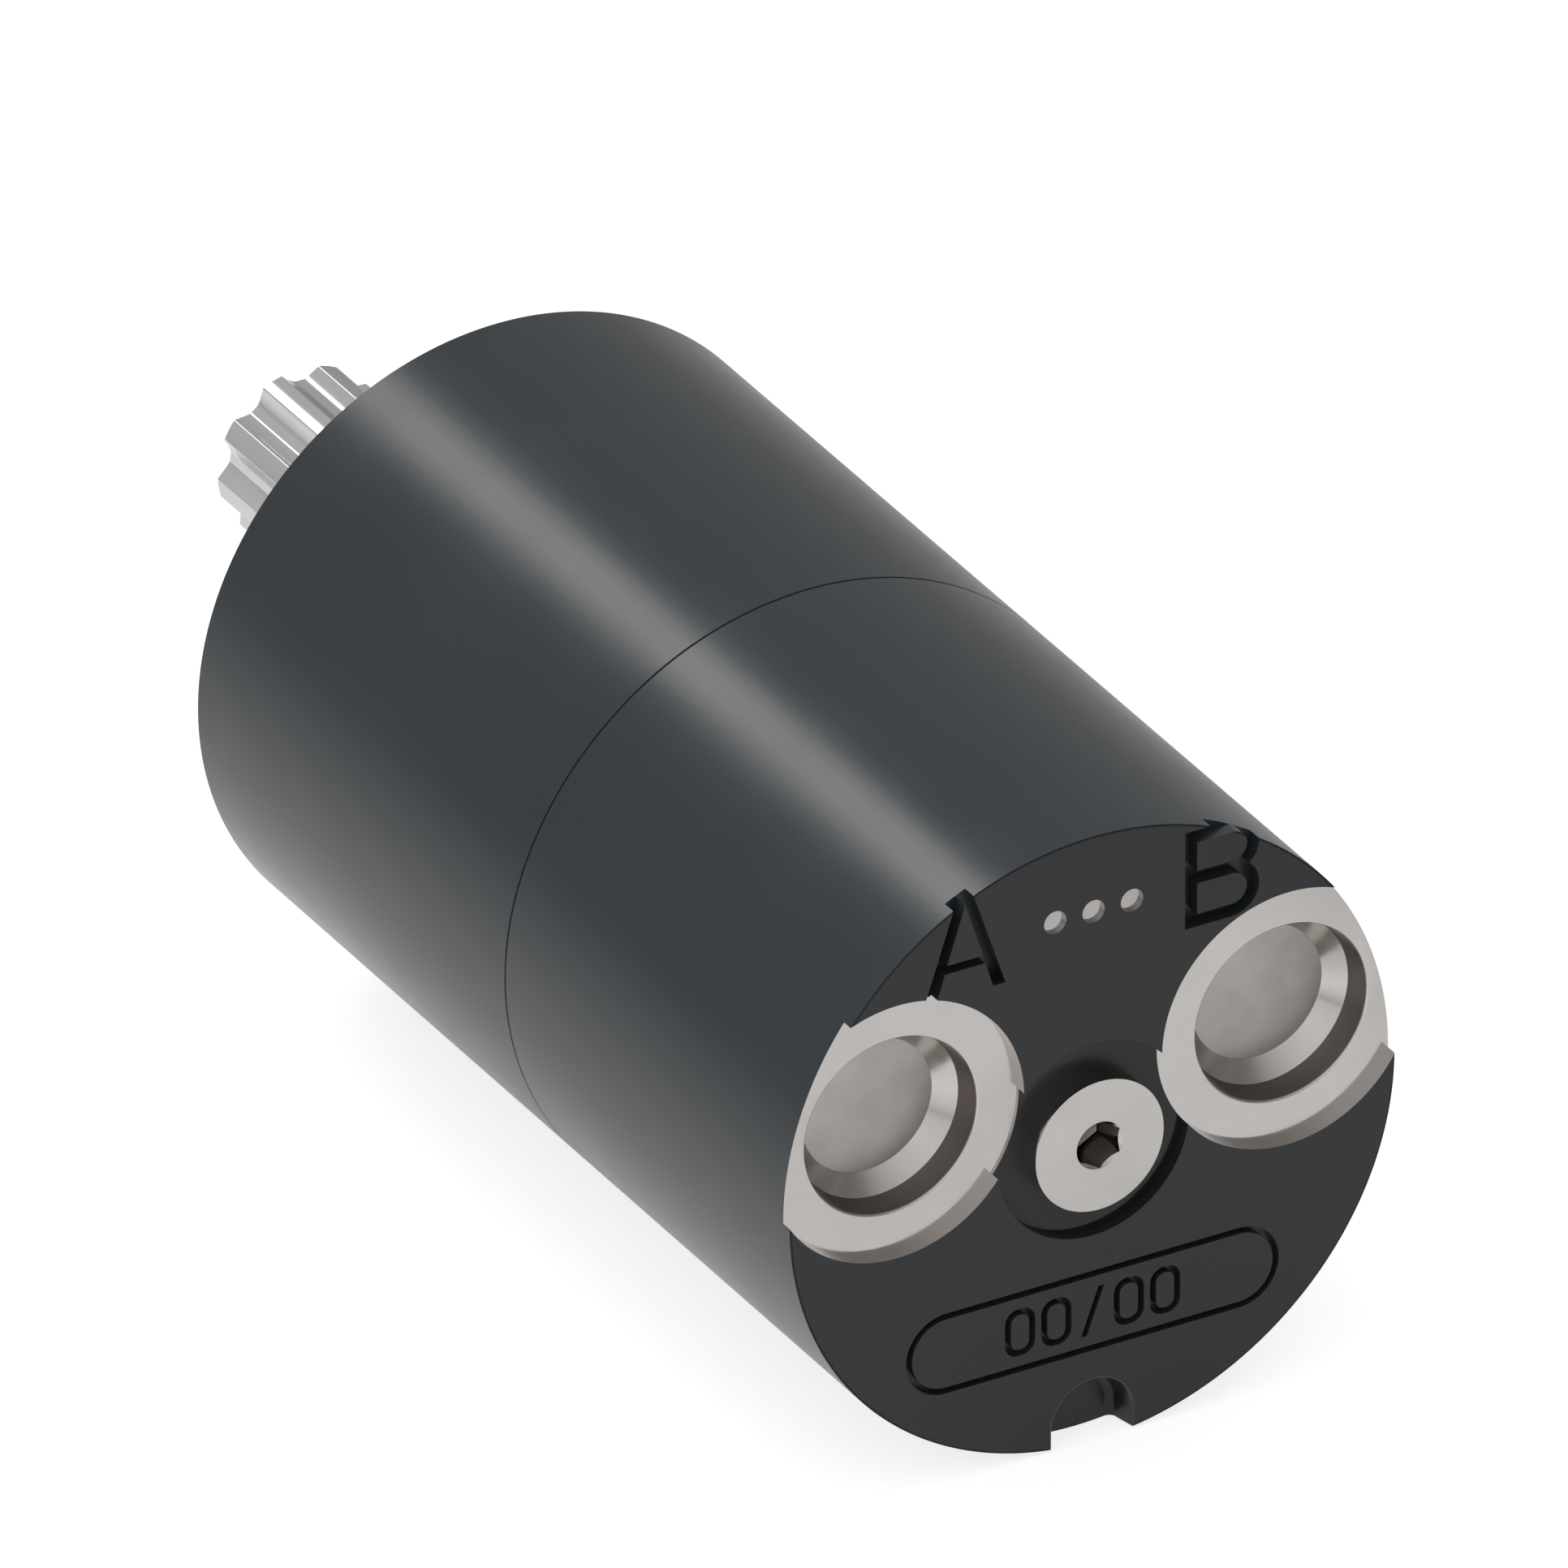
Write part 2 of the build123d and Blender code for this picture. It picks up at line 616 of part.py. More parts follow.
# Channel plate: leads the seven oil ways outside the spool into the roller chambers
with BuildPart() as channel_plate:
    with BuildSketch(behind(housing_face)):
        Circle(stack_r)
        Circle(plate_bore_r, mode=Mode.SUBTRACT)
        with Locations(*passages):
            Circle(passage_r, mode=Mode.SUBTRACT)
        with Locations(*dowels):
            Circle(dowel_d / 2 + dowel_play, mode=Mode.SUBTRACT)
        with PolarLocations(chamber_way_circle_r, roller_count, start_angle=chamber_angles[0]):
            Circle(chamber_way_r, mode=Mode.SUBTRACT)
    extrude(amount=channel_plate_t)
    with BuildSketch(behind(ring_face)):
        with PolarLocations((chamber_way_circle_r + chamber_mouth_r) / 2, roller_count,
                            start_angle=chamber_angles[0]):
            SlotCenterToCenter(chamber_way_circle_r - chamber_mouth_r, 2 * chamber_way_r)
    extrude(amount=-chamber_groove_depth, mode=Mode.SUBTRACT)
channel_plate.part.label = "channel_plate"
export_step(channel_plate.part, "parts/channel_plate.step")

# Gear ring with a pocket for each roller
with BuildPart() as gear_ring:
    with BuildSketch(behind(ring_face)):
        Circle(stack_r)
        Circle(roller_circle_r + 2 * eccentricity - roller_r + tip_gap, mode=Mode.SUBTRACT)
        with PolarLocations(roller_circle_r, roller_count, start_angle=roller_angles[0]):
            Circle(roller_r + pocket_play, mode=Mode.SUBTRACT)
        with Locations(*passages):
            Circle(passage_r, mode=Mode.SUBTRACT)
        with Locations(*dowels):
            Circle(dowel_d / 2 + dowel_play, mode=Mode.SUBTRACT)
    extrude(amount=gear_width)
gear_ring.part.label = "gear_ring"
export_step(gear_ring.part, "parts/gear_ring.step")

for number, angle in enumerate(roller_angles, start=1):
    with BuildPart() as roller:
        with BuildSketch(behind(ring_face + end_play)):
            with Locations(at(roller_circle_r, angle)):
                Circle(roller_r)
        extrude(amount=gear_width - 2 * end_play)
        chamfer(roller.edges(), length=0.25)
    roller.part.label = f"roller_{number}"
    export_step(roller.part, f"parts/roller_{number}.step")


def rotor_point(turn):
    """A point of the rotor flank: the roller's path about the rotor, moved in by its radius."""
    path = cmath.rect(roller_circle_r, turn) - cmath.rect(eccentricity, roller_count * turn)
    heading = 1j * cmath.rect(roller_circle_r, turn)
    heading -= 1j * roller_count * cmath.rect(eccentricity, roller_count * turn)
    point = path + 1j * heading / abs(heading) * (roller_r + rotor_play)
    return (point.real, point.imag)


# Rotor: six lobes outside, the drive link's spline inside, its axis set off upwards
arcs_per_lobe = 8
arc_turn = 2 * pi / (slot_count * arcs_per_lobe)
with BuildPart() as rotor:
    with BuildSketch(Plane((0, -ring_face - end_play, eccentricity), x_dir=(1, 0, 0), z_dir=(0, -1, 0))):
        with BuildLine():
            for k in range(slot_count * arcs_per_lobe):
                ThreePointArc(*[rotor_point((k + part) * arc_turn) for part in (0, 0.5, 1)])
        make_face()
        add(link_bore, mode=Mode.SUBTRACT)
    extrude(amount=gear_width - 2 * end_play)
rotor.part.label = "rotor"
export_step(rotor.part, "parts/rotor.step")

# Spacer behind the drive link, loose in the rotor's bore
with BuildPart() as drive_spacer:
    with BuildSketch(Plane((0, -spacer_start, eccentricity), x_dir=(1, 0, 0), z_dir=(0, -1, 0))):
        Circle(link_root_r + spline_play - spacer_play)
    extrude(amount=spacer_end - spacer_start)
    chamfer(drive_spacer.edges(), length=0.3)
drive_spacer.part.label = "drive_spacer"
export_step(drive_spacer.part, "parts/drive_spacer.step")

# End plate
with BuildPart() as end_plate:
    with BuildSketch(behind(end_plate_face)):
        Circle(stack_r)
        Circle(drain_way_r, mode=Mode.SUBTRACT)
        with Locations(*passages):
            Circle(passage_r, mode=Mode.SUBTRACT)
    extrude(amount=end_plate_t)
    with BuildSketch(behind(end_plate_face)):
        with Locations(*dowels):
            Circle(dowel_d / 2 + dowel_play)
    extrude(amount=dowel_in_plate, mode=Mode.SUBTRACT)
end_plate.part.label = "end_plate"
export_step(end_plate.part, "parts/end_plate.step")

# Two dowels line up the plates and the gear ring with the front housing
dowel_len = dowel_in_housing + channel_plate_t + gear_width + dowel_in_plate
with BuildPart() as dowel_pins:
    with BuildSketch(behind(housing_face - dowel_in_housing)):
        with Locations(*dowels):
            Circle(dowel_d / 2)
    extrude(amount=dowel_len)
    chamfer(dowel_pins.edges().filter_by(GeomType.CIRCLE), length=0.3)
dowel_pins.part.label = "dowel_pins"
export_step(dowel_pins.part, "parts/dowel_pins.step")

# Drain plug with its hexagon socket
with BuildPart() as drain_plug:
    head_face = body_len + plug_proud
    revolve(half_section(
        (0, head_face), (plug_head_r - plug_head_break, head_face), (plug_head_r, head_face - plug_head_break),
        (plug_head_r, plug_floor), (plug_shank_r, plug_floor),
        (plug_shank_r, plug_floor - plug_shank_len + 0.8), (plug_shank_r - 0.8, plug_floor - plug_shank_len),
        (0, plug_floor - plug_shank_len)), axis=Axis.Y)
    with BuildSketch(behind(head_face)):
        RegularPolygon(plug_hex / 2, 6, major_radius=False, rotation=30)
    extrude(amount=-plug_hex_depth, mode=Mode.SUBTRACT)
    with BuildSketch(behind(head_face)):
        Circle(plug_hex / sqrt(3))
    extrude(amount=-1, taper=45, mode=Mode.SUBTRACT)
drain_plug.part.label = "drain_plug"
export_step(drain_plug.part, "parts/drain_plug.step")

# O-rings
plug_o_ring = o_ring(plug_shank_r + plug_seal_wire / 2, plug_seal_wire * 0.96,
                     (0, plug_floor - plug_seal_wire * 0.49, 0))
plug_o_ring.part.label = "plug_o_ring"
export_step(plug_o_ring.part, "parts/plug_o_ring.step")

housing_o_ring = o_ring(spigot_d / 2 - o_ring_wire / 2, o_ring_wire * 0.98,
                        (0, front_len + 0.6 + o_ring_wire * 0.6, 0))
housing_o_ring.part.label = "housing_o_ring"
export_step(housing_o_ring.part, "parts/housing_o_ring.step")

passage_o_rings = o_ring(passage_r + passage_seal_wire / 2, passage_seal_wire * 0.96,
                         *[(x, floor_face + passage_seal_wire * 0.49, z) for x, z in passages])
passage_o_rings.part.label = "passage_o_rings"
export_step(passage_o_rings.part, "parts/passage_o_rings.step")

# Check valves: seat, ball and spring on each side
with BuildPart() as check_valve_seats:
    for side in (-1, 1):
        centre = (side * valve_x, -valve_floor, valve_z)
        with BuildSketch(Plane(centre, x_dir=(1, 0, 0), z_dir=(0, 0, 1))):
            with BuildLine():
                Polyline((seat_hole_r, 0), (valve_pocket_r, 0), (valve_pocket_r, -seat_t),
                         (seat_hole_r + seat_chamfer, -seat_t), (seat_hole_r, -seat_t + seat_chamfer), close=True)
            make_face()
        revolve(axis=Axis(centre, (0, 1, 0)))
check_valve_seats.part.label = "check_valve_seats"
export_step(check_valve_seats.part, "parts/check_valve_seats.step")

pocket_end = valve_floor + valve_pocket_depth
spring_front = ball_depth + sqrt(valve_ball_r**2 - valve_spring_r**2) + valve_wire_r + ball_gap
for side, port in ((-1, "a"), (1, "b")):
    with BuildPart() as check_ball:
        with Locations((side * valve_x, -ball_depth, valve_z)):
            Sphere(valve_ball_r)
    check_ball.part.label = f"check_ball_{port}"
    export_step(check_ball.part, f"parts/check_ball_{port}.step")

    spring_len = pocket_end - valve_wire_r - spring_front
    with BuildPart() as check_spring:
        with BuildLine():
            coil = Helix(spring_len / valve_spring_turns, spring_len, valve_spring_r,
                         center=(side * valve_x, -spring_front, valve_z), direction=(0, -1, 0))
        with BuildSketch(Plane(coil @ 0, z_dir=coil % 0)):
            RegularPolygon(valve_wire_r, 6)
        sweep(is_frenet=True)
    check_spring.part.label = f"check_spring_{port}"
    export_step(check_spring.part, f"parts/check_spring_{port}.step")
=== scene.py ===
import json
import math
import bmesh
import bpy
from mathutils import Matrix, Vector


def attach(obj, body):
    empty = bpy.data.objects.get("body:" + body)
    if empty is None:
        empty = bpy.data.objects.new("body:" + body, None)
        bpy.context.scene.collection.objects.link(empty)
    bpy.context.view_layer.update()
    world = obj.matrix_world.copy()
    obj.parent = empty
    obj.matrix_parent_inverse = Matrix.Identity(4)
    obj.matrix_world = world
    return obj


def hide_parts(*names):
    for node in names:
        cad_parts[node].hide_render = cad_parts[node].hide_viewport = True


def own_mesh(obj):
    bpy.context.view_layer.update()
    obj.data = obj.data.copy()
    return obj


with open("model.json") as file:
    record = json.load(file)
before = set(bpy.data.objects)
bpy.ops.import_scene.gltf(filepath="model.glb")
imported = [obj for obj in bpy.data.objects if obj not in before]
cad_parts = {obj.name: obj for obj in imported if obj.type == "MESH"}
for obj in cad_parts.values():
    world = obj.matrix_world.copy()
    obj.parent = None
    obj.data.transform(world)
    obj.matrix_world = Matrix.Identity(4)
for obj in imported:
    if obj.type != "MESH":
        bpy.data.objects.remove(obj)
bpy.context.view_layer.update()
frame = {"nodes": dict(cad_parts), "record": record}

# The shaft lies along Y, its splined end points to +Y, and the mounting face is at Y = 0.
# Sizes are in millimetres and become metres where a mesh is made.
# Angles are in degrees from +X towards +Z.
MM = 0.001
ROUND = 192               # segments of a large circle
SMALL_ROUND = 64

# Body
BODY_R = 30.0
SEAM = -53.5
SEAM_GAP = 0.15
SEAM_EDGE = 0.06
REAR = -102.6
REAR_EDGE, REAR_EDGE_DEPTH, FRONT_EDGE = 0.2, 0.06, 0.08
PILOT_R, PILOT_LEN, PILOT_EDGE = 15.75, 2.2, 0.4
SPIGOT_R, SPIGOT_END = 26.0, -63.0
O_RING_R, O_RING_FRONT, O_RING_BACK = 24.2, -54.1, -56.26
SEAL_R, SEAL_BACK, WEB_R, WEB_BACK = 13.0, -1.8, 9.6, -3.5
BEARING_R, THRUST_START, SPOOL_BORE_R = 12.0, -27.0, 15.02
CHAMBER_CIRCLE_R, CHAMBER_R, CHAMBER_WAY_R, PASSAGE_WAY_R = 18.4, 1.5, 1.65, 1.7
BOLT_CIRCLE_R, BOLT_R, BOLT_DEPTH, BOLT_PITCH, BOLT_THREAD = 22.5, 2.5, 12.0, 1.0, 0.45
DOWEL_R, DOWEL_CIRCLE_R = 1.52, 21.0

# Inside of the port housing
SKIRT_R, CAVITY_R, CAVITY_END = 26.02, 24.0, -81.5
FLOOR_R, VALVE_FLOOR = 13.0, -82.7

# Ports
PORT_X, PORT_Z = 19.35, 6.4
SPOTFACE_R, SPOTFACE_DEPTH = 12.5, 1.15
MOUTH_R, MOUTH_ROUND = 8.5, 0.22
SEAT_R, SEAT_DEPTH, CONE_DEPTH = 8.1, 3.7, 5.35
BORE_R, BORE_DEPTH, DRILL_POINT = 6.45, 15.6, 20.0
BLANK_R = 6.44
PASSAGE_R, PASSAGE_SEAT_R, PASSAGE_SEAT_DEPTH = 2.0, 3.4, 1.37
BLANK_LEN, BLANK_WALL, BLANK_FACE, BLANK_GAP = 2.2, 0.8, 1.0, 0.01

# Drain plug and its recess
RECESS_R, RECESS_RING_R, RECESS_DEPTH = 9.5, 8.05, 0.95
PLUG_SEAT_R, PLUG_SEAT_DEPTH = 6.15, 1.42
PLUG_HOLE_R, PLUG_HOLE_END = 4.76, -91.65
PLUG_R, PLUG_PROUD, PLUG_EDGE = 6.35, 1.15, 0.03
PLUG_SHANK_R, PLUG_SHANK_LEN = 4.7, 9.0
PLUG_HEX, PLUG_HEX_DEPTH, PLUG_MOUTH_R = 3.97, 4.0, 2.3
VALVE_X, VALVE_Z, VALVE_POCKET_R, VALVE_POCKET_DEPTH = 8.7, -3.2, 2.9, 9.6
VALVE_WAY_R, VALVE_WAY_FROM_END = 1.0, 1.3
SPRING_R, SPRING_WIRE_R, SPRING_TURNS, SPRING_FRONT, BALL_LIFT = 1.25, 0.25, 4, -88.06, 0.8

# Marks in the rear face
MARK_DEPTH = 1.5
LABEL_Z, LABEL_LEN, LABEL_H = -17.0, 37.0, 7.95
LABEL_LINE, LABEL_DEPTH = 0.6, 1.0
DIGIT_Z, DIGIT_H, DIGIT_W, DIGIT_PITCH, DIGIT_LINE = -17.03, 4.65, 3.0, 3.6, 0.6
DOT_PITCH, DOT_Z, DOT_R, DOT_DEPTH = 3.8, 22.6, 1.1, 0.4
NOTCH_W, NOTCH_Z, NOTCH_DEPTH, NOTCH_DRAFT, NOTCH_CORNER, NOTCH_LIP = 4.05, -27.9, 3.0, 10.0, 0.8, 0.14

# Output shaft
SHAFT_END, SPLINE_END = 34.9, 9.9
TEETH, TIP_R, ROOT_R, TIP_HALF, ROOT_HALF, FLANK_HOLLOW = 9, 8.25, 7.02, 7.0, 16.5, 0.10
FIRST_TOOTH, SHAFT_CHAMFER, SHAFT_CHAMFER_LEN = 69.5, 0.5, 0.15
JOURNAL_R, JOURNAL_FRONT = 9.0, 8.0
SPOOL_R, SPOOL_START, SPOOL_END = 15.0, -31.0, -62.9
GROOVE_R, GROOVE_HALF, GROOVES = 13.7, 1.75, (-36.8, -57.8)
PORT_ROW, SLOT_W, SLOT_OVERLAP = -47.3, 4.2, 4.0


def at(radius, angle):
    return (radius * math.cos(math.radians(angle)), radius * math.sin(math.radians(angle)))


def arc(centre, radius, start, end, steps):
    """Points of an arc about centre, both ends among them."""
    return [(centre[0] + radius * math.cos(math.radians(start + (end - start) * k / steps)),
             centre[1] + radius * math.sin(math.radians(start + (end - start) * k / steps)))
            for k in range(steps + 1)]


# Materials. Each has its grain and wear at the real scale, in metres of the object.
def start_material(name, base, metallic, roughness):
    material = bpy.data.materials.new(name)
    material.use_nodes = True
    nodes, links = material.node_tree.nodes, material.node_tree.links
    shader = nodes["Principled BSDF"]
    shader.inputs["Base Color"].default_value = base
    shader.inputs["Metallic"].default_value = metallic
    shader.inputs["Roughness"].default_value = roughness
    place = nodes.new("ShaderNodeTexCoord")
    return material, nodes, links, shader, place.outputs["Object"]


def noise(nodes, links, place, scale, detail=3.0, stretch=None):
    if stretch:
        mapping = nodes.new("ShaderNodeMapping")
        mapping.inputs["Scale"].default_value = stretch
        links.new(place, mapping.inputs["Vector"])
        place = mapping.outputs["Vector"]
    texture = nodes.new("ShaderNodeTexNoise")
    texture.inputs["Scale"].default_value = scale
    texture.inputs["Detail"].default_value = detail
    links.new(place, texture.inputs["Vector"])
    return texture.outputs["Fac"]


def spread(nodes, links, value, low, high, start=0.3, end=0.7):
    """value taken from start..end to low..high."""
    ramp = nodes.new("ShaderNodeMapRange")
    ramp.inputs["From Min"].default_value = start
    ramp.inputs["From Max"].default_value = end
    ramp.inputs["To Min"].default_value = low
    ramp.inputs["To Max"].default_value = high
    links.new(value, ramp.inputs["Value"])
    return ramp.outputs["Result"]


def tint(nodes, links, shader, value, dark, light):
    mix = nodes.new("ShaderNodeMix")
    mix.data_type = 'RGBA'
    mix.inputs["A"].default_value = dark
    mix.inputs["B"].default_value = light
    links.new(value, mix.inputs["Factor"])
    links.new(mix.outputs["Result"], shader.inputs["Base Color"])


def bump(nodes, links, shader, height, depth, strength=1.0, after=None):
    node = nodes.new("ShaderNodeBump")
    node.inputs["Strength"].default_value = strength
    node.inputs["Distance"].default_value = depth
    links.new(height, node.inputs["Height"])
    if after:
        links.new(after, node.inputs["Normal"])
    links.new(node.outputs["Normal"], shader.inputs["Normal"])
    return node.outputs["Normal"]


def paint(name, dark, light, roughness, grain=1.0, specular=0.5):
    """Satin paint: fine orange peel, with slow patches in its gloss and colour."""
    material, nodes, links, shader, place = start_material(name, light, 0.0, roughness)
    shader.inputs["Specular IOR Level"].default_value = specular
    patches = noise(nodes, links, place, 60, 4)
    specks = noise(nodes, links, place, 2600, 2)
    tint(nodes, links, shader, spread(nodes, links, patches, 0, 1), dark, light)
    links.new(spread(nodes, links, patches, roughness - 0.02, roughness + 0.03), shader.inputs["Roughness"])
    peel = bump(nodes, links, shader, noise(nodes, links, place, 900, 2), 0.0000016 * grain)
    bump(nodes, links, shader, specks, 0.0000022 * grain, after=peel)
    return material


def machined(name, dark, light, roughness, centre=None, both_sides=False, pitch=0.11, depth=0.0000012):
    """Turned metal: rings about an axis along Y through centre (x, z) in millimetres, or a plain grain."""
    material, nodes, links, shader, place = start_material(name, light, 1.0, roughness)
    patches = noise(nodes, links, place, 110, 4)
    tint(nodes, links, shader, spread(nodes, links, patches, 0, 1), dark, light)
    links.new(spread(nodes, links, noise(nodes, links, place, 420, 3), roughness - 0.035, roughness + 0.05),
              shader.inputs["Roughness"])
    if centre is None:
        bump(nodes, links, shader, noise(nodes, links, place, 1500, 3), depth)
        return material
    split = nodes.new("ShaderNodeSeparateXYZ")
    links.new(place, split.inputs["Vector"])
    across = split.outputs["X"]
    if both_sides:
        fold = nodes.new("ShaderNodeMath")
        fold.operation = 'ABSOLUTE'
        links.new(across, fold.inputs[0])
        across = fold.outputs["Value"]
    join = nodes.new("ShaderNodeCombineXYZ")
    for value, offset, socket in ((across, centre[0], "X"), (split.outputs["Z"], centre[1], "Z")):
        shift = nodes.new("ShaderNodeMath")
        shift.operation = 'SUBTRACT'
        shift.inputs[1].default_value = offset * MM
        links.new(value, shift.inputs[0])
        links.new(shift.outputs["Value"], join.inputs[socket])
    links.new(split.outputs["Y"], join.inputs["Y"])
    wave = nodes.new("ShaderNodeTexWave")
    wave.wave_type = 'RINGS'
    wave.rings_direction = 'Y'
    wave.inputs["Scale"].default_value = 0.314 / (pitch * MM)
    wave.inputs["Distortion"].default_value = 1.2
    wave.inputs["Detail"].default_value = 2.0
    wave.inputs["Detail Scale"].default_value = 2.0
    links.new(join.outputs["Vector"], wave.inputs["Vector"])
    turned = bump(nodes, links, shader, wave.outputs["Fac"], depth)
    bump(nodes, links, shader, noise(nodes, links, place, 2200, 2), depth * 0.8, after=turned)
    return material


def ground(name, dark, light, roughness, stretch, depth=0.0000007, scale=900):
    """Ground or drawn metal: fine lines along the axis that is stretched."""
    material, nodes, links, shader, place = start_material(name, light, 1.0, roughness)
    lines = noise(nodes, links, place, scale, 3, stretch)
    tint(nodes, links, shader, spread(nodes, links, noise(nodes, links, place, 90, 3), 0, 1), dark, light)
    links.new(spread(nodes, links, lines, roughness - 0.03, roughness + 0.05), shader.inputs["Roughness"])
    bump(nodes, links, shader, lines, depth)
    return material


def moulded(name, dark, light, roughness, specular=0.5):
    """Rubber or plastic with a matt moulded skin."""
    material, nodes, links, shader, place = start_material(name, light, 0.0, roughness)
    shader.inputs["Specular IOR Level"].default_value = specular
    patches = noise(nodes, links, place, 300, 4)
    tint(nodes, links, shader, spread(nodes, links, patches, 0, 1), dark, light)
    links.new(spread(nodes, links, patches, roughness - 0.06, roughness + 0.06), shader.inputs["Roughness"])
    bump(nodes, links, shader, noise(nodes, links, place, 1800, 2), 0.000003)
    return material


PAINT = paint("housing_paint", (0.0100, 0.0182, 0.0238, 1), (0.0125, 0.0212, 0.0272, 1), 0.235)
# Lighter paint on the rounded front edge and the notch's lip: rubbed edges, and a painted highlight along
# them.
PAINT_EDGE_WEAR_AND_HIGHLIGHT = paint("housing_paint_edge_wear_and_highlight", (0.034, 0.040, 0.044, 1), (0.046, 0.052, 0.056, 1), 0.25, 0.6)
PAINT_FACE = paint("housing_paint_face", (0.0076, 0.0088, 0.0112, 1), (0.0092, 0.0106, 0.0132, 1), 0.30,
                   specular=0.50)
# Duller paint with little specular on the rear edge's chamfer: painted shade for the dark band along that
# edge.
PAINT_RIM_PAINTED_SHADE = paint("housing_paint_rim_painted_shade", (0.0100, 0.0145, 0.0180, 1), (0.0125, 0.0175, 0.0210, 1), 0.30,
                  specular=0.22)
# Darker paint on the outer floor of the plug's recess: painted shade in the recess.
PAINT_RECESS_PAINTED_SHADE = paint("recess_paint_painted_shade", (0.0062, 0.0072, 0.0086, 1), (0.0078, 0.0088, 0.0104, 1), 0.30,
                     specular=0.42)
PAINT_RING = paint("recess_ring_paint", (0.0105, 0.0120, 0.0138, 1), (0.0125, 0.0140, 0.0160, 1), 0.12,
                   specular=0.38)
# Paint lighter than the housing's in the engraved label, letters and digits: painted light that lifts the
# shade in the grooves.
MARK_PAINT_PAINTED_LIGHT = paint("engraved_paint_painted_light", (0.0200, 0.0250, 0.0290, 1), (0.0250, 0.0310, 0.0360, 1), 0.30, specular=0.4)
INSIDE = machined("bored_iron", (0.17, 0.17, 0.175, 1), (0.22, 0.22, 0.22, 1), 0.42, (0, 0), pitch=0.15)
PORTS = machined("port_metal", (0.55, 0.524, 0.503, 1), (0.605, 0.578, 0.557, 1), 0.13,
                 (PORT_X, PORT_Z), both_sides=True, depth=0.0000004)
# The taper below each port's mouth takes a darker copy of the port metal: painted shade inside the port.
SHADED_SEAT_METAL = machined("seat_metal_painted_shade", (0.250, 0.223, 0.206, 1), (0.300, 0.268, 0.248, 1), 0.22,
                 (PORT_X, PORT_Z), both_sides=True, depth=0.0000004)
# The blanks' metal is darker than the port metal: painted shade deep in the port.
SHADED_BLANK_METAL = machined("blank_metal_painted_shade", (0.37, 0.350, 0.335, 1), (0.50, 0.473, 0.453, 1), 0.38,
                  (PORT_X, PORT_Z), both_sides=True, depth=0.0000006)
DOTS = machined("dot_metal", (0.42, 0.40, 0.385, 1), (0.48, 0.46, 0.445, 1), 0.12, depth=0.0000004)
PLUG = machined("plug_metal", (0.54, 0.515, 0.495, 1), (0.60, 0.575, 0.555, 1), 0.14, (0, 0), pitch=0.14,
                depth=0.0000004)
SOCKET = machined("socket_metal", (0.27, 0.255, 0.245, 1), (0.36, 0.34, 0.325, 1), 0.11, depth=0.0000003)
SHAFT = ground("shaft_metal", (0.58, 0.57, 0.56, 1), (0.63, 0.62, 0.61, 1), 0.06, (1, 0.06, 1), 0.0000003)
GROUND_STEEL = ground("ground_steel", (0.50, 0.50, 0.505, 1), (0.60, 0.60, 0.60, 1), 0.2, (1, 0.05, 1))
GEAR_STEEL = ground("gear_steel", (0.40, 0.40, 0.41, 1), (0.50, 0.50, 0.51, 1), 0.26, (0.05, 1, 1))
PLATE_STEEL = ground("plate_steel", (0.38, 0.38, 0.39, 1), (0.45, 0.45, 0.46, 1), 0.3, (1, 1, 0.05))
SPRING_STEEL = machined("spring_steel", (0.30, 0.29, 0.28, 1), (0.40, 0.39, 0.38, 1), 0.3)
RUBBER = moulded("seal_rubber", (0.010, 0.010, 0.010, 1), (0.022, 0.022, 0.022, 1), 0.6, 0.35)
PLASTIC = moulded("seal_plastic", (0.66, 0.64, 0.58, 1), (0.76, 0.74, 0.68, 1), 0.45)


# Meshes
def finish_mesh(name, work, materials):
    bmesh.ops.recalc_face_normals(work, faces=work.faces)
    mesh = bpy.data.meshes.new(name)
    work.to_mesh(mesh)
    work.free()
    for material in materials:
        mesh.materials.append(material)
    piece = bpy.data.objects.new(name, mesh)
    bpy.context.scene.collection.objects.link(piece)
    return piece


def loft(name, rings, materials, marks=None, closed=False):
    """Skins rings of (x, y, z) points, one after the other; a ring of one point is a pole.
    closed joins the last ring to the first, and otherwise both ends get a flat face."""
    work = bmesh.new()
    made = [[work.verts.new(Vector(point) * MM) for point in ring] for ring in rings]
    pairs = list(zip(made, made[1:] + made[:1]))
    if not closed:
        pairs.pop()
        for ring in (made[0], made[-1]):
            if len(ring) > 1:
                work.faces.new(ring)
    for number, (a, b) in enumerate(pairs):
        count = max(len(a), len(b))
        for k in range(count):
            corners = []
            for vert in (a[k % len(a)], a[(k + 1) % len(a)], b[(k + 1) % len(b)], b[k % len(b)]):
                if vert not in corners:
                    corners.append(vert)
            face = work.faces.new(corners)
            face.material_index = (marks or {}).get(number, 0)
    return finish_mesh(name, work, materials)


def lathe(name, profile, materials, centre=(0, 0), segments=ROUND, marks=None):
    """Turns (radius, y) points about an axis along Y through centre (x, z).
    An outline that starts and ends on the axis gets flat ends there; another one is a closed ring."""
    solid = profile[0][0] == 0 and profile[-1][0] == 0
    if solid:
        profile = profile[1:] if profile[0][1] == profile[1][1] else profile
        profile = profile[:-1] if profile[-1][1] == profile[-2][1] else profile
    rings = []
    for radius, y in profile:
        if radius == 0:
            rings.append([(centre[0], y, centre[1])])
        else:
            circle = [at(radius, 360 * k / segments) for k in range(segments)]
            rings.append([(centre[0] + x, y, centre[1] + z) for x, z in circle])
    return loft(name, rings, materials, marks, closed=not solid)


def rod(name, centre, radius, start, end, material, segments=SMALL_ROUND):
    return lathe(name, [(0, start), (radius, start), (radius, end), (0, end)], [material], centre, segments)


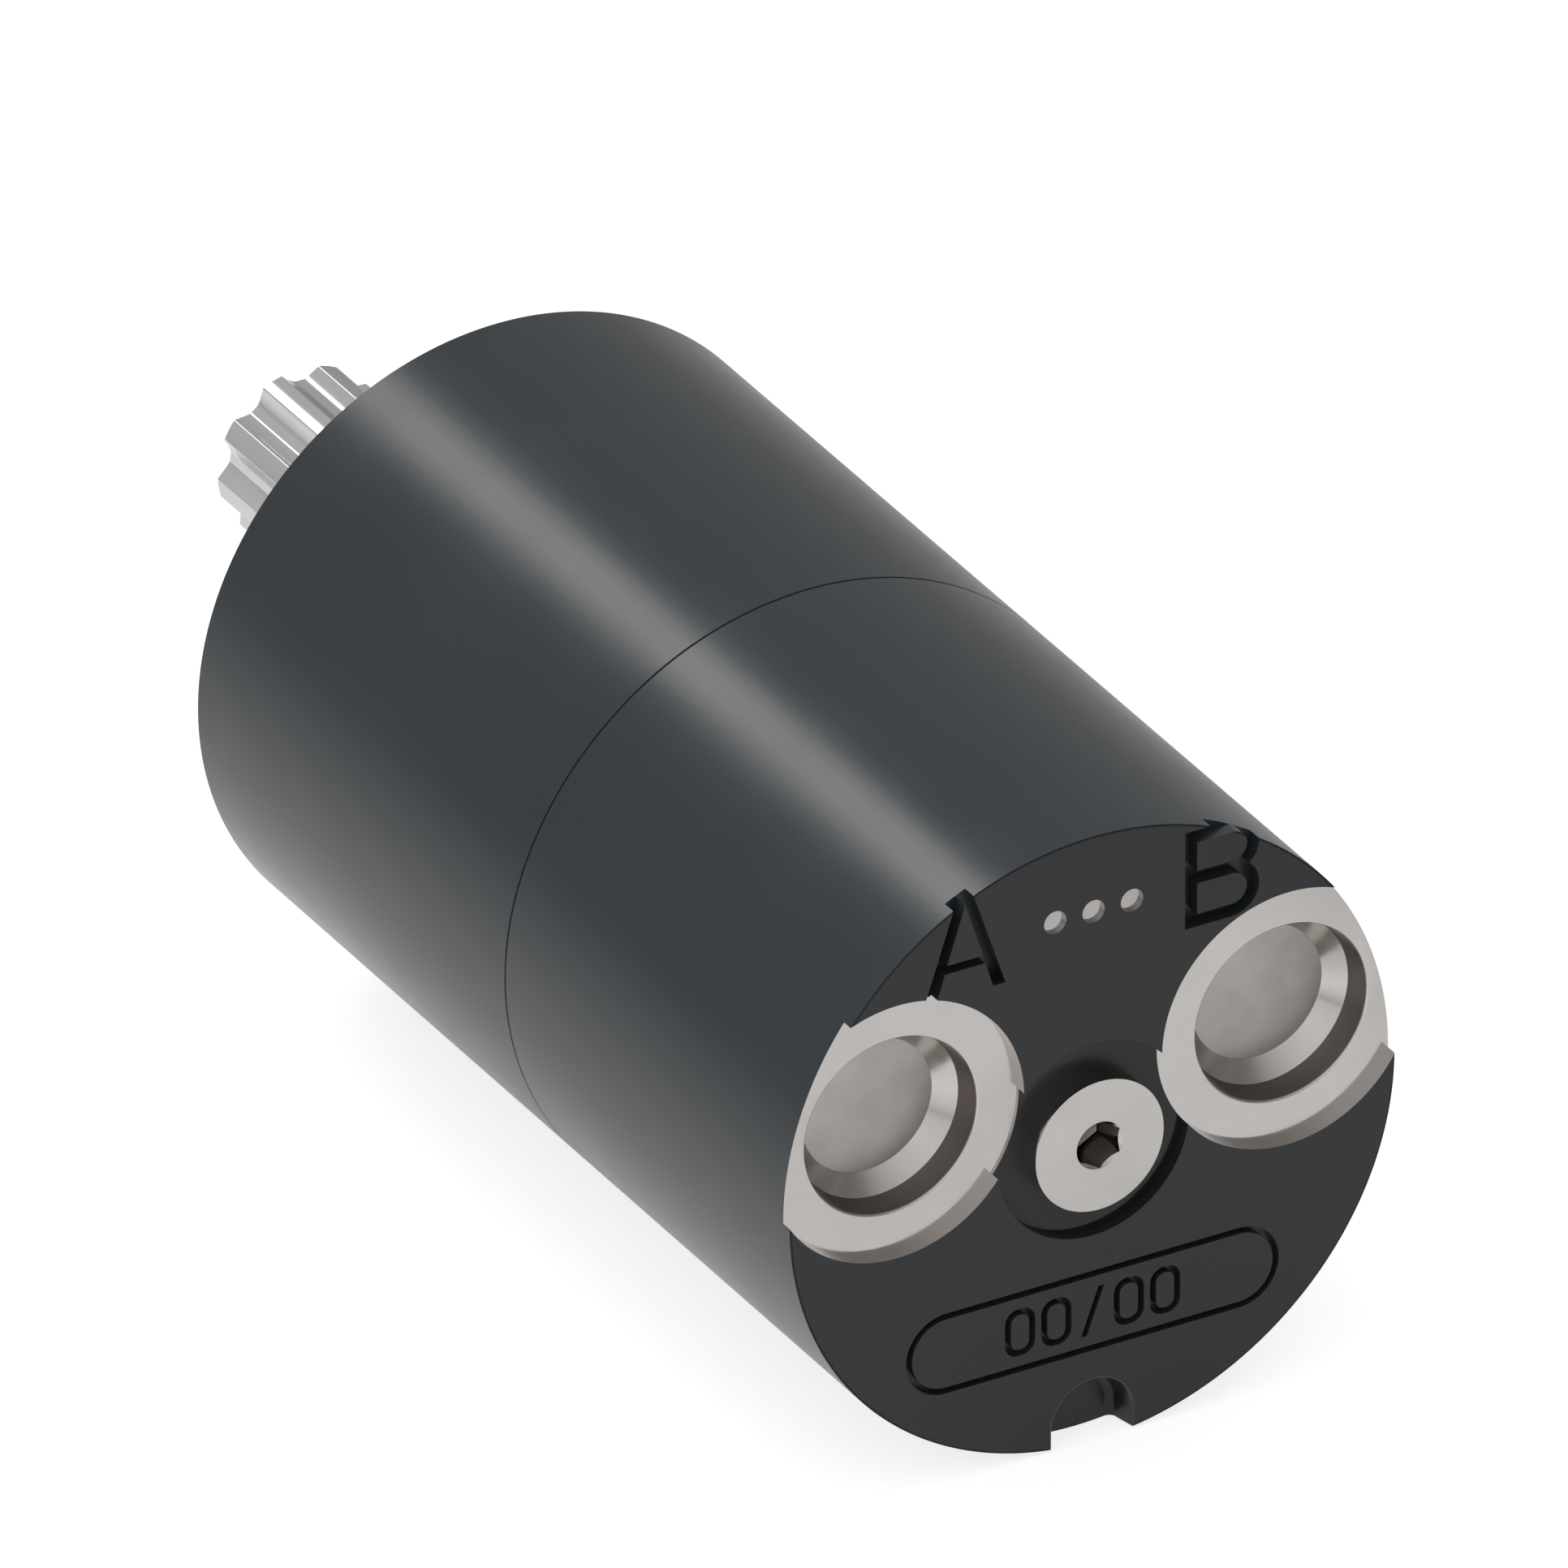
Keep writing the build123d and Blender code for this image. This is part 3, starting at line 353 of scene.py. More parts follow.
def drill(name, start, end, radius, material, segments=32):
    """A cylinder between two (x, y, z) points."""
    start, end = Vector(start), Vector(end)
    turn = (end - start).to_track_quat('Z', 'Y')
    circle = [turn @ Vector((*at(radius, 360 * k / segments), 0)) for k in range(segments)]
    return loft(name, [[start + point for point in circle], [end + point for point in circle]], [material])


def prism(name, outlines, start, end, material):
    """A solid between two y from closed (x, z) outlines; an outline inside another is a hole."""
    curve = bpy.data.curves.new(name, 'CURVE')
    curve.dimensions = '2D'
    curve.fill_mode = 'BOTH'
    curve.extrude = abs(end - start) / 2
    for outline in outlines:
        spline = curve.splines.new('POLY')
        spline.points.add(len(outline) - 1)
        for point, (x, z) in zip(spline.points, outline):
            point.co = (x, z, 0, 1)
        spline.use_cyclic_u = True
    shape = bpy.data.objects.new(name, curve)
    bpy.context.scene.collection.objects.link(shape)
    depsgraph = bpy.context.evaluated_depsgraph_get()
    flat = bpy.data.meshes.new_from_object(shape.evaluated_get(depsgraph))
    work = bmesh.new()
    work.from_mesh(flat)
    bmesh.ops.remove_doubles(work, verts=work.verts, dist=0.0005)
    middle = (start + end) / 2
    for vert in work.verts:
        x, z, along = vert.co
        vert.co = (x * MM, (middle + along) * MM, z * MM)
    bpy.data.objects.remove(shape)
    bpy.data.meshes.remove(flat)
    return finish_mesh(name, work, [material])


def cut(target, *cutters, operation='DIFFERENCE'):
    """Cuts the cutters out of the target; the walls they leave keep the cutters' materials."""
    for cutter in cutters:
        step = target.modifiers.new(cutter.name, 'BOOLEAN')
        step.operation = operation
        step.solver = 'EXACT'
        step.material_mode = 'TRANSFER'
        step.object = cutter
    depsgraph = bpy.context.evaluated_depsgraph_get()
    mesh = bpy.data.meshes.new_from_object(target.evaluated_get(depsgraph), depsgraph=depsgraph)
    target.modifiers.clear()
    target.data = mesh
    for cutter in cutters:
        bpy.data.objects.remove(cutter)


def dress(piece, body, nodes, angle=30):
    """Smooth shading broken at corners, and the piece's place in the frame."""
    piece.data.shade_smooth()
    piece.data.set_sharp_from_angle(angle=math.radians(angle))
    normals = piece.modifiers.new("normals", 'WEIGHTED_NORMAL')
    normals.keep_sharp = True
    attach(piece, body)
    if nodes:
        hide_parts(*nodes)


# Port housing
skirt_front = SEAM - SEAM_GAP
shell = [
    (0, REAR), (BODY_R - REAR_EDGE, REAR), (BODY_R, REAR + REAR_EDGE_DEPTH),
    (BODY_R, REAR + 0.6), (BODY_R, skirt_front - 0.4), (BODY_R, skirt_front - SEAM_EDGE),
    (BODY_R - SEAM_EDGE, skirt_front), (SKIRT_R, skirt_front), (SKIRT_R, SPIGOT_END),
    (CAVITY_R, SPIGOT_END), (CAVITY_R, CAVITY_END), (FLOOR_R, CAVITY_END), (FLOOR_R, VALVE_FLOOR),
    (0, VALVE_FLOOR)]
shell_marks = {k: 1 for k in range(5, 13)}
# The rear chamfer takes the duller rim paint, painted shade.
shell_marks[0] = 3
port_housing = lathe("port_housing_detail", shell, [PAINT, INSIDE, PAINT_FACE, PAINT_RIM_PAINTED_SHADE], marks=shell_marks)
for face in port_housing.data.polygons:
    if len(face.vertices) == ROUND:
        face.material_index = 2 if face.center.y < REAR * MM + 1e-6 else 1


def into(depth):
    """The y of a depth into the rear face."""
    return REAR + depth


cutters = []
port_tip = BORE_DEPTH + (BORE_R - PASSAGE_R) * math.tan(math.radians(DRILL_POINT))
passage_seat_y = CAVITY_END - PASSAGE_SEAT_DEPTH
for side in (-1, 1):
    mouth = arc((MOUTH_R + MOUTH_ROUND, into(SPOTFACE_DEPTH + MOUTH_ROUND)), MOUTH_ROUND, 270, 180, 5)
    port = [(0, into(-1)), (SPOTFACE_R, into(-1)), (SPOTFACE_R, into(SPOTFACE_DEPTH))] + mouth + [
        (SEAT_R, into(SEAT_DEPTH)),
        (BORE_R, into(CONE_DEPTH)), (BORE_R, into(CONE_DEPTH + 0.2)), (BORE_R, into(BORE_DEPTH)),
        (PASSAGE_R, into(port_tip)), (PASSAGE_R, passage_seat_y),
        (PASSAGE_SEAT_R, passage_seat_y), (PASSAGE_SEAT_R, CAVITY_END + 1), (0, CAVITY_END + 1)]
    # The taper below the mouth takes the darker seat metal, painted shade.
    cutters.append(lathe("port_cut", port, [PORTS, SHADED_SEAT_METAL], (side * PORT_X, PORT_Z), 144, {7: 1}))

recess_floor = into(RECESS_DEPTH)
recess = [
    (0, into(-1)), (RECESS_R, into(-1)), (RECESS_R, recess_floor), (RECESS_RING_R, recess_floor),
    (PLUG_SEAT_R, recess_floor), (PLUG_SEAT_R, recess_floor + PLUG_SEAT_DEPTH),
    (PLUG_HOLE_R, recess_floor + PLUG_SEAT_DEPTH), (PLUG_HOLE_R, PLUG_HOLE_END),
    (PASSAGE_R, PLUG_HOLE_END + 1.6), (PASSAGE_R, VALVE_FLOOR + 1), (0, VALVE_FLOOR + 1)]
# The recess floor's outer ring takes the darker recess paint, painted shade.
recess_marks = {k: 3 for k in range(3, len(recess))}
recess_marks.update({1: 1, 2: 2})
cutters.append(lathe("recess_cut", recess, [MARK_PAINT_PAINTED_LIGHT, PAINT_RING, PAINT_RECESS_PAINTED_SHADE, INSIDE], segments=144,
                     marks=recess_marks))
for side in (-1, 1):
    pocket_end = VALVE_FLOOR - VALVE_POCKET_DEPTH
    cutters.append(rod("pocket_cut", (side * VALVE_X, VALVE_Z), VALVE_POCKET_R, VALVE_FLOOR + 1, pocket_end,
                       INSIDE, 48))
    way_y = pocket_end + VALVE_WAY_FROM_END
    cutters.append(drill("way_cut", (side * VALVE_X, way_y, VALVE_Z), (side * PORT_X, way_y, PORT_Z),
                         VALVE_WAY_R, INSIDE, 24))
for k in (-1, 0, 1):
    dot = [(0, into(-1)), (DOT_R, into(-1)), (DOT_R, into(DOT_DEPTH)), (0, into(DOT_DEPTH))]
    cutters.append(lathe("dot_cut", dot, [DOTS], (k * DOT_PITCH, DOT_Z), 48))


def stadium(length, height, z, steps=32):
    half = length / 2 - height / 2
    return arc((half, z), height / 2, -90, 90, steps) + arc((-half, z), height / 2, 90, 270, steps)


# The engravings take the lighter mark paint, painted light in the grooves.
cutters.append(prism("label_cut", [
    stadium(LABEL_LEN, LABEL_H, LABEL_Z),
    stadium(LABEL_LEN - 2 * LABEL_LINE, LABEL_H - 2 * LABEL_LINE, LABEL_Z)],
    into(-1), into(LABEL_DEPTH), MARK_PAINT_PAINTED_LIGHT))


# Port letters, cut by a flat cutter
def letter_b():
    upper, lower = (13.78, 25.04), (13.69, 20.88)
    outside = [(9.07, 18.15)] + arc(lower, 2.73, -90, 50.6, 16) + arc(upper, 2.64, -51.0, 90, 16)
    outside.append((9.07, 27.68))
    top_hole = [(10.26, 23.62)] + arc(upper, 1.42, -90, 90, 14) + [(10.26, 26.46)]
    low_hole = [(10.26, 19.37)] + arc(lower, 1.51, -90, 90, 14) + [(10.26, 22.39)]
    return [outside, top_hole, low_hole]


def letter_a():
    middle = -12.7
    outside = [(-4.0, 18.13), (-2.77, 18.13), (-1.99, 20.58), (1.99, 20.58), (2.77, 18.13), (4.0, 18.13),
               (0.8, 27.68), (-0.8, 27.68)]
    hole = [(-1.78, 21.4), (1.78, 21.4), (0, 26.9)]
    return [[(middle + x, z) for x, z in outline] for outline in (outside, hole)]


def zero(x):
    """A plain nought with round corners."""
    def box(width, height, corner):
        points = []
        for cx, cz, start in ((1, -1, -90), (1, 1, 0), (-1, 1, 90), (-1, -1, 180)):
            centre = (x + cx * (width / 2 - corner), DIGIT_Z + cz * (height / 2 - corner))
            points += arc(centre, corner, start, start + 90, 8)
        return points
    return [box(DIGIT_W, DIGIT_H, 1.3), box(DIGIT_W - 2 * DIGIT_LINE, DIGIT_H - 2 * DIGIT_LINE, 0.8)]


for name, outlines in (("letter_b_cut", letter_b()), ("letter_a_cut", letter_a())):
    cutters.append(prism(name, outlines, into(-1), into(MARK_DEPTH), MARK_PAINT_PAINTED_LIGHT))
for k in (-2, -1, 1, 2):
    cutters.append(prism("digit_cut", zero(k * DIGIT_PITCH), into(-1), into(LABEL_DEPTH), MARK_PAINT_PAINTED_LIGHT))
stroke = [(-1.15, DIGIT_Z - DIGIT_H / 2), (-0.58, DIGIT_Z - DIGIT_H / 2), (1.15, DIGIT_Z + DIGIT_H / 2),
          (0.58, DIGIT_Z + DIGIT_H / 2)]
cutters.append(prism("stroke_cut", [stroke], into(-1), into(LABEL_DEPTH), MARK_PAINT_PAINTED_LIGHT))


# Notch in the lower rim: drafted walls, a rounded floor corner and a soft upper edge
def notch_ring(half, y, steps=28):
    points = arc((0, NOTCH_Z), half, 0, 180, steps) + [(-half, NOTCH_Z - 6), (half, NOTCH_Z - 6)]
    return [(x, y, z) for x, z in points]


slope = math.tan(math.radians(NOTCH_DRAFT))
notch_rings = [notch_ring(NOTCH_W + NOTCH_LIP, into(-1))]
for angle in range(0, 91, 18):
    turn = math.radians(angle)
    half = NOTCH_W + NOTCH_LIP * (1 - math.sin(turn))
    notch_rings.append(notch_ring(half, into(NOTCH_LIP * (1 - math.cos(turn)))))
wall_end = NOTCH_DEPTH - NOTCH_CORNER
notch_rings.append(notch_ring(NOTCH_W - slope * NOTCH_LIP * 2, into(NOTCH_LIP * 2)))
for angle in range(0, 91, 15):
    turn = math.radians(angle)
    half = NOTCH_W - slope * wall_end - NOTCH_CORNER * (1 - math.cos(turn))
    notch_rings.append(notch_ring(half, into(wall_end + NOTCH_CORNER * math.sin(turn))))
# The notch's rounded lip takes the lighter edge paint: wear and a painted highlight.
cutters.append(loft("notch_cut", notch_rings, [PAINT_FACE, PAINT_EDGE_WEAR_AND_HIGHLIGHT], marks={k: 1 for k in range(1, 6)}))
cut(port_housing, *cutters)
dress(port_housing, "housing", ["port_housing"])

# A pressed-in blank closes each port at the foot of its cone
for side, letter in ((-1, "a"), (1, "b")):
    front = into(CONE_DEPTH) + BLANK_GAP
    blank = [(0, front), (BLANK_R, front), (BLANK_R, front + BLANK_LEN),
             (BLANK_R - BLANK_WALL, front + BLANK_LEN), (BLANK_R - BLANK_WALL, front + BLANK_FACE),
             (0, front + BLANK_FACE)]
    # Its darker metal is painted shade at the bottom of the port.
    port_blank = lathe(f"port_blank_{letter}", blank, [SHADED_BLANK_METAL], (side * PORT_X, PORT_Z), 144)
    dress(port_blank, "housing", [])

# Front housing
seam_edge = [(BODY_R - SEAM_EDGE, SEAM), (BODY_R, SEAM + SEAM_EDGE)]
front_edge = arc((BODY_R - FRONT_EDGE, -FRONT_EDGE), FRONT_EDGE, 0, 90, 5)
shell = [
    (SPIGOT_R, SEAM)] + seam_edge + [(BODY_R, SEAM + 0.4), (BODY_R, -0.6)] + front_edge + [
    (BODY_R - 0.6, 0), (PILOT_R + 0.2, 0), (PILOT_R, 0.12), (PILOT_R, PILOT_LEN - PILOT_EDGE),
    (PILOT_R - PILOT_EDGE, PILOT_LEN), (SEAL_R + 0.15, PILOT_LEN), (SEAL_R, PILOT_LEN - 0.15),
    (SEAL_R, SEAL_BACK), (WEB_R, SEAL_BACK), (WEB_R, WEB_BACK), (BEARING_R, WEB_BACK),
    (BEARING_R, THRUST_START), (SPOOL_BORE_R, THRUST_START), (SPOOL_BORE_R, SPIGOT_END),
    (SPIGOT_R - 0.25, SPIGOT_END), (SPIGOT_R, SPIGOT_END + 0.25), (SPIGOT_R, O_RING_BACK),
    (O_RING_R, O_RING_BACK), (O_RING_R, O_RING_FRONT), (SPIGOT_R, O_RING_FRONT)]
# The rounded front edge takes the lighter edge paint: wear and a painted highlight.
front_marks = {}
for k in range(len(shell)):
    if 5 <= k <= 9:
        front_marks[k] = 1
    elif k >= 11:
        front_marks[k] = 2
FRONT_METAL = machined("front_metal", (0.30, 0.30, 0.305, 1), (0.38, 0.38, 0.38, 1), 0.34, (0, 0), pitch=0.16)
front_housing = lathe("front_housing_detail", shell, [PAINT, PAINT_EDGE_WEAR_AND_HIGHLIGHT, FRONT_METAL], marks=front_marks)


def tapped_hole(name, centre, material, columns=40, rows_per_turn=8):
    """A blind hole with a real screw thread, its mouth in the mounting face."""
    rings = []
    rows = int(BOLT_DEPTH / BOLT_PITCH) * rows_per_turn
    for row in range(-rows_per_turn, rows + 1):
        depth = row * BOLT_PITCH / rows_per_turn
        ring = []
        for k in range(columns):
            phase = (depth / BOLT_PITCH - k / columns) % 1
            height = min(1.0, 3.2 * min(phase, 1 - phase)) * BOLT_THREAD
            flare = max(0.0, 0.65 - depth)
            end = 0.0 if depth > BOLT_DEPTH - 1.5 else 1.0
            x, z = at(BOLT_R + max(height * end, min(flare, 0.65)), 360 * k / columns)
            ring.append((centre[0] + x, -depth, centre[1] + z))
        rings.append(ring)
    rings.append([(centre[0], -BOLT_DEPTH - 1.2, centre[1])])
    return loft(name, rings, [material])


cutters = [tapped_hole("bolt_cut", at(BOLT_CIRCLE_R, angle), FRONT_METAL) for angle in (90, 210, 330)]
passage_angle = math.degrees(math.atan2(PORT_Z, PORT_X))
passage_circle = math.hypot(PORT_X, PORT_Z)
for angle, depth in ((180 - passage_angle, GROOVES[0]), (passage_angle, GROOVES[1])):
    x, z = at(passage_circle, angle)
    inner_x, inner_z = at(SPOOL_R - 1, angle)
    cutters.append(rod("passage_cut", (x, z), PASSAGE_R, SPIGOT_END - 1, depth, FRONT_METAL, 32))
    cutters.append(drill("radial_cut", (x, depth, z), (inner_x, depth, inner_z), PASSAGE_WAY_R,
                         FRONT_METAL, 24))
for k in range(7):
    angle = 90 + k * 360 / 7
    x, z = at(CHAMBER_CIRCLE_R, angle)
    inner_x, inner_z = at(SPOOL_R - 1, angle)
    cutters.append(rod("chamber_cut", (x, z), CHAMBER_R, SPIGOT_END - 1, PORT_ROW, FRONT_METAL, 24))
    cutters.append(drill("chamber_radial_cut", (x, PORT_ROW, z), (inner_x, PORT_ROW, inner_z), CHAMBER_WAY_R,
                         FRONT_METAL, 24))
for angle in (90, 270):
    cutters.append(rod("dowel_cut", at(DOWEL_CIRCLE_R, angle), DOWEL_R, SPIGOT_END - 1, SPIGOT_END + 5,
                       FRONT_METAL, 32))
cut(front_housing, *cutters)
dress(front_housing, "housing", ["front_housing"])


# Output shaft
def flank(low, high, hollow, steps=5):
    """Points of a shallow arc from low to high, its middle off the straight line by hollow."""
    low, high = Vector(low), Vector(high)
    along = high - low
    side = Vector((along.y, -along.x)).normalized()
    return [low + along * (k / steps) - side * hollow * 4 * (k / steps) * (1 - k / steps)
            for k in range(steps + 1)]


def soften(before, corner, after, steps=4):
    """Points of a curve that leaves before, rounds the corner and ends at after."""
    points = []
    for k in range(steps + 1):
        t = k / steps
        points.append(before * (1 - t) ** 2 + corner * 2 * t * (1 - t) + after * t ** 2)
    return points


def spline_points():
    """The outline of the output spline as (radius, angle) points in order of angle."""
    points = []
    valley = 360 / TEETH / 2 - ROOT_HALF
    for tooth in range(TEETH):
        middle = FIRST_TOOTH + tooth * 360 / TEETH
        sides = flank(at(ROOT_R, -ROOT_HALF), at(TIP_R, -TIP_HALF), FLANK_HOLLOW)
        low = soften(Vector(at(ROOT_R, -ROOT_HALF - 1.2)), sides[0], sides[0].lerp(sides[1], 0.6))
        high = soften(sides[-1].lerp(sides[-2], 0.45), sides[-1], Vector(at(TIP_R, -TIP_HALF + 0.8)))
        rise = [(point.length, math.degrees(math.atan2(point.y, point.x)))
                for point in low + sides[1:-1] + high]
        tip = [(TIP_R, TIP_HALF * k / 4) for k in (-2, -1, 0, 1, 2)]
        fall = [(radius, -angle) for radius, angle in rise[::-1]]
        floor = [(ROOT_R, ROOT_HALF + valley * 2 * k / 4) for k in (1, 2, 3)]
        points += [(radius, middle + angle) for radius, angle in rise + tip + fall + floor]
    return points


spline = spline_points()
rings = []
for k in range(7):
    y = SHAFT_END - SHAFT_CHAMFER_LEN * k / 6
    limit = TIP_R - SHAFT_CHAMFER * (1 - k / 6)
    rings.append([(y, min(radius, limit), angle) for radius, angle in spline])
rings.append([(SHAFT_END - 1.2, radius, angle) for radius, angle in spline])
rings.append([(SPLINE_END + 0.6, radius, angle) for radius, angle in spline])
rings.append([(SPLINE_END, min(radius + 0.25, TIP_R), angle) for radius, angle in spline])
turned = [
    (TIP_R, SPLINE_END - 0.05), (TIP_R + 0.05, SPLINE_END - 0.2), (JOURNAL_R - 0.05, JOURNAL_FRONT + 0.15),
    (JOURNAL_R, JOURNAL_FRONT), (JOURNAL_R, JOURNAL_FRONT - 0.6), (JOURNAL_R, SPOOL_START + 0.3),
    (JOURNAL_R, SPOOL_START), (SPOOL_R - 0.4, SPOOL_START), (SPOOL_R, SPOOL_START - 0.4)]
for groove in GROOVES:
    turned += [(SPOOL_R, groove + GROOVE_HALF), (GROOVE_R, groove + GROOVE_HALF),
               (GROOVE_R, groove - GROOVE_HALF), (SPOOL_R, groove - GROOVE_HALF)]
turned += [(SPOOL_R, SPOOL_END + 0.4), (SPOOL_R - 0.4, SPOOL_END)]
for radius, y in turned:
    rings.append([(y, radius, angle) for _, angle in spline])
shaft_rings = []
for ring in rings:
    shaft_rings.append([(at(radius, angle)[0], y, at(radius, angle)[1]) for y, radius, angle in ring])
output_shaft = loft("output_shaft_detail", shaft_rings, [SHAFT])


def link_bore(radius_low, radius_high, y):
    """A ring of the twelve-tooth internal spline."""
    points = []
    for tooth in range(12):
        for radius, angle in ((radius_low, -10.5), (radius_high, -5.2), (radius_high, 5.2),
                              (radius_low, 10.5)):
            x, z = at(radius, tooth * 30 + angle)
            points.append((x, y, z))
    return points


bore = [
    (8.8, 8.8, SPOOL_END - 1), (8.8, 8.8, SPOOL_END), (8.2, 8.2, SPOOL_END + 0.6), (8.2, 8.2, -50.8),
    (5.35, 6.55, -50.2), (5.35, 6.55, -41.0), (6.95, 6.95, -41.0), (6.95, 6.95, -38.0), (2.6, 2.6, -37.0),
    (2.6, 2.6, -32.0)]
cutters = [loft("bore_cut", [link_bore(*step) for step in bore] + [[(0, -31.3, 0)]], [GROUND_STEEL])]
slot_ends = [(GROOVES[0], PORT_ROW - SLOT_OVERLAP), (PORT_ROW + SLOT_OVERLAP, GROOVES[1])]
for group, (start, end) in enumerate(slot_ends):
    for k in range(6):
        angle = 75 + group * 30 + k * 60
        out, side = Vector((*at(1, angle), 0)), Vector((*at(1, angle + 90), 0))
        half = side * (SLOT_W / 2)
        low, high = out * GROOVE_R, out * (SPOOL_R + 1)
        ends = [[(corner.x, y, corner.y) for corner in (low - half, high - half, high + half, low + half)]
                for y in (start, end)]
        cutters.append(loft("slot_cut", ends, [GROUND_STEEL]))
cutters.append(drill("cross_cut", (0, -33.2, 0), (0, -33.2, 16), 1.2, GROUND_STEEL, 24))
cut(output_shaft, *cutters)
dress(output_shaft, "shaft", ["output_shaft"], 22)

# Drain plug
head = REAR - PLUG_PROUD
seat = REAR + RECESS_DEPTH
plug = [(0, head), (PLUG_R - PLUG_EDGE - 0.1, head)] + arc(
    (PLUG_R - PLUG_EDGE, head + PLUG_EDGE), PLUG_EDGE, -90, 0, 3) + [
    (PLUG_R, head + PLUG_EDGE + 0.2), (PLUG_R, seat), (PLUG_SHANK_R, seat),
    (PLUG_SHANK_R, seat + PLUG_SHANK_LEN - 0.8), (PLUG_SHANK_R - 0.8, seat + PLUG_SHANK_LEN),
    (0, seat + PLUG_SHANK_LEN)]
drain_plug = lathe("drain_plug_detail", plug, [PLUG], segments=128)
hex_points = [at(PLUG_HEX / math.sqrt(3), 60 * k + 30) for k in range(6)]
hex_cut = loft("hex_cut", [[(x, y, z) for x, z in hex_points] for y in (head - 1, head + PLUG_HEX_DEPTH)] +
               [[(0, head + PLUG_HEX_DEPTH + 0.9, 0)]], [SOCKET])
mouth_cut = lathe("mouth_cut", [(0, head - 0.5), (PLUG_MOUTH_R + 0.5, head - 0.5), (0, head + PLUG_MOUTH_R)],
                  [PLUG], segments=96)
cut(drain_plug, hex_cut, mouth_cut)
dress(drain_plug, "housing", ["drain_plug"])

# Dust seal with its lip on the journal
front = PILOT_LEN
back = front - 3.7
lip_r = JOURNAL_R + 0.03
seal = [(SEAL_R, front - 0.35), (SEAL_R, back), (JOURNAL_R + 1.4, back), (JOURNAL_R + 1.4, back + 0.8),
        (lip_r, back + 1.4), (lip_r, back + 1.7), (JOURNAL_R + 1.0, back + 2.0), (lip_r, front + 0.1),
        (lip_r + 0.1, front + 0.25), (lip_r + 0.3, front + 0.3), (JOURNAL_R + 1.9, front - 0.8),
        (JOURNAL_R + 2.1, front - 0.9), (SEAL_R - 1.1, front - 0.9), (SEAL_R - 0.95, front - 0.75),
        (SEAL_R - 0.95, front - 0.35), (SEAL_R - 0.85, front - 0.3), (SEAL_R - 0.1, front - 0.3)]
dust_seal = lathe("dust_seal_detail", seal, [RUBBER], segments=144)
dress(dust_seal, "housing", ["dust_seal"], 40)

# Springs of the two check valves, each reaching to the end of its pocket.
def coil(name, centre, start, end, radius, wire_r, turns, material, steps=36, sides=12):
    """A spring about an axis along Y; start and end are the y of its wire's centre."""
    rings = []
    for k in range(turns * steps + 1):
        out = Vector((*at(1, 360 * k / steps), 0))
        y = start + (end - start) * k / (turns * steps)
        ring = []
        for across, along in (at(wire_r, 360 * i / sides) for i in range(sides)):
            reach = radius + across
            ring.append((centre[0] + out.x * reach, y + along, centre[1] + out.y * reach))
        rings.append(ring)
    return loft(name, rings, [material])


for side, letter in ((-1, "a"), (1, "b")):
    pocket_end = VALVE_FLOOR - VALVE_POCKET_DEPTH
    spring = coil(f"check_spring_{letter}_detail", (side * VALVE_X, VALVE_Z), SPRING_FRONT,
                  pocket_end + SPRING_WIRE_R, SPRING_R, SPRING_WIRE_R, SPRING_TURNS, SPRING_STEEL)
    dress(spring, "housing", [f"check_spring_{letter}"], 50)
    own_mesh(spring)

# Carried-over CAD nodes take the finish of their slot
finishes = {
    "ground_steel": GROUND_STEEL, "gear_steel": GEAR_STEEL, "plate_steel": PLATE_STEEL,
    "spring_steel": SPRING_STEEL, "seal_rubber": RUBBER, "seal_plastic": PLASTIC,
    "housing_paint": PAINT, "plug_steel": PLUG, "shaft_steel": SHAFT}
slots = {part["node"]: part["material_slot"] for part in frame["record"]["subparts"]}
for node, piece in frame["nodes"].items():
    finish = finishes[slots[node]]
    for held in piece.material_slots:
        held.link = 'OBJECT'
        held.material = finish

# Floor: white to the camera, and it keeps the soft shadow of the body
CAMERA_GLOW, CLEAR_GLOW = 0.76, 0.70
FLOOR_REACH = 12.0        # metres
floor_z = -BODY_R * MM
floor = bpy.data.meshes.new("floor")
corners = [(x * FLOOR_REACH, y * FLOOR_REACH, floor_z) for x, y in ((-1, -1), (1, -1), (1, 1), (-1, 1))]
floor.from_pydata(corners, [], [(0, 1, 2, 3)])
floor_piece = bpy.data.objects.new("floor", floor)
bpy.context.scene.collection.objects.link(floor_piece)
stage_paper = bpy.data.materials.new("stage_paper")
stage_paper.use_nodes = True
nodes, links = stage_paper.node_tree.nodes, stage_paper.node_tree.links
nodes.clear()
output = nodes.new("ShaderNodeOutputMaterial")
diffuse = nodes.new("ShaderNodeBsdfDiffuse")
diffuse.inputs["Color"].default_value = (0.62, 0.62, 0.62, 1)
glow = nodes.new("ShaderNodeEmission")
both = nodes.new("ShaderNodeAddShader")
rays = nodes.new("ShaderNodeLightPath")
place = nodes.new("ShaderNodeTexCoord")
split = nodes.new("ShaderNodeSeparateXYZ")
links.new(place.outputs["Object"], split.inputs["Vector"])


def math_node(nodes, links, operation, a, b):
    node = nodes.new("ShaderNodeMath")
    node.operation = operation
    for socket, value in zip(node.inputs, (a, b)):
        if isinstance(value, (int, float)):
            socket.default_value = value
        else:
            links.new(value, socket)
    return node.outputs["Value"]


def fill_ramp(ramp, stops):
    """Grey levels at positions from 0 to 1."""
    while len(ramp.elements) < len(stops):
        ramp.elements.new(0.5)
    for element, (position, level) in zip(ramp.elements, stops):
        element.position = position
        element.color = (level, level, level, 1)


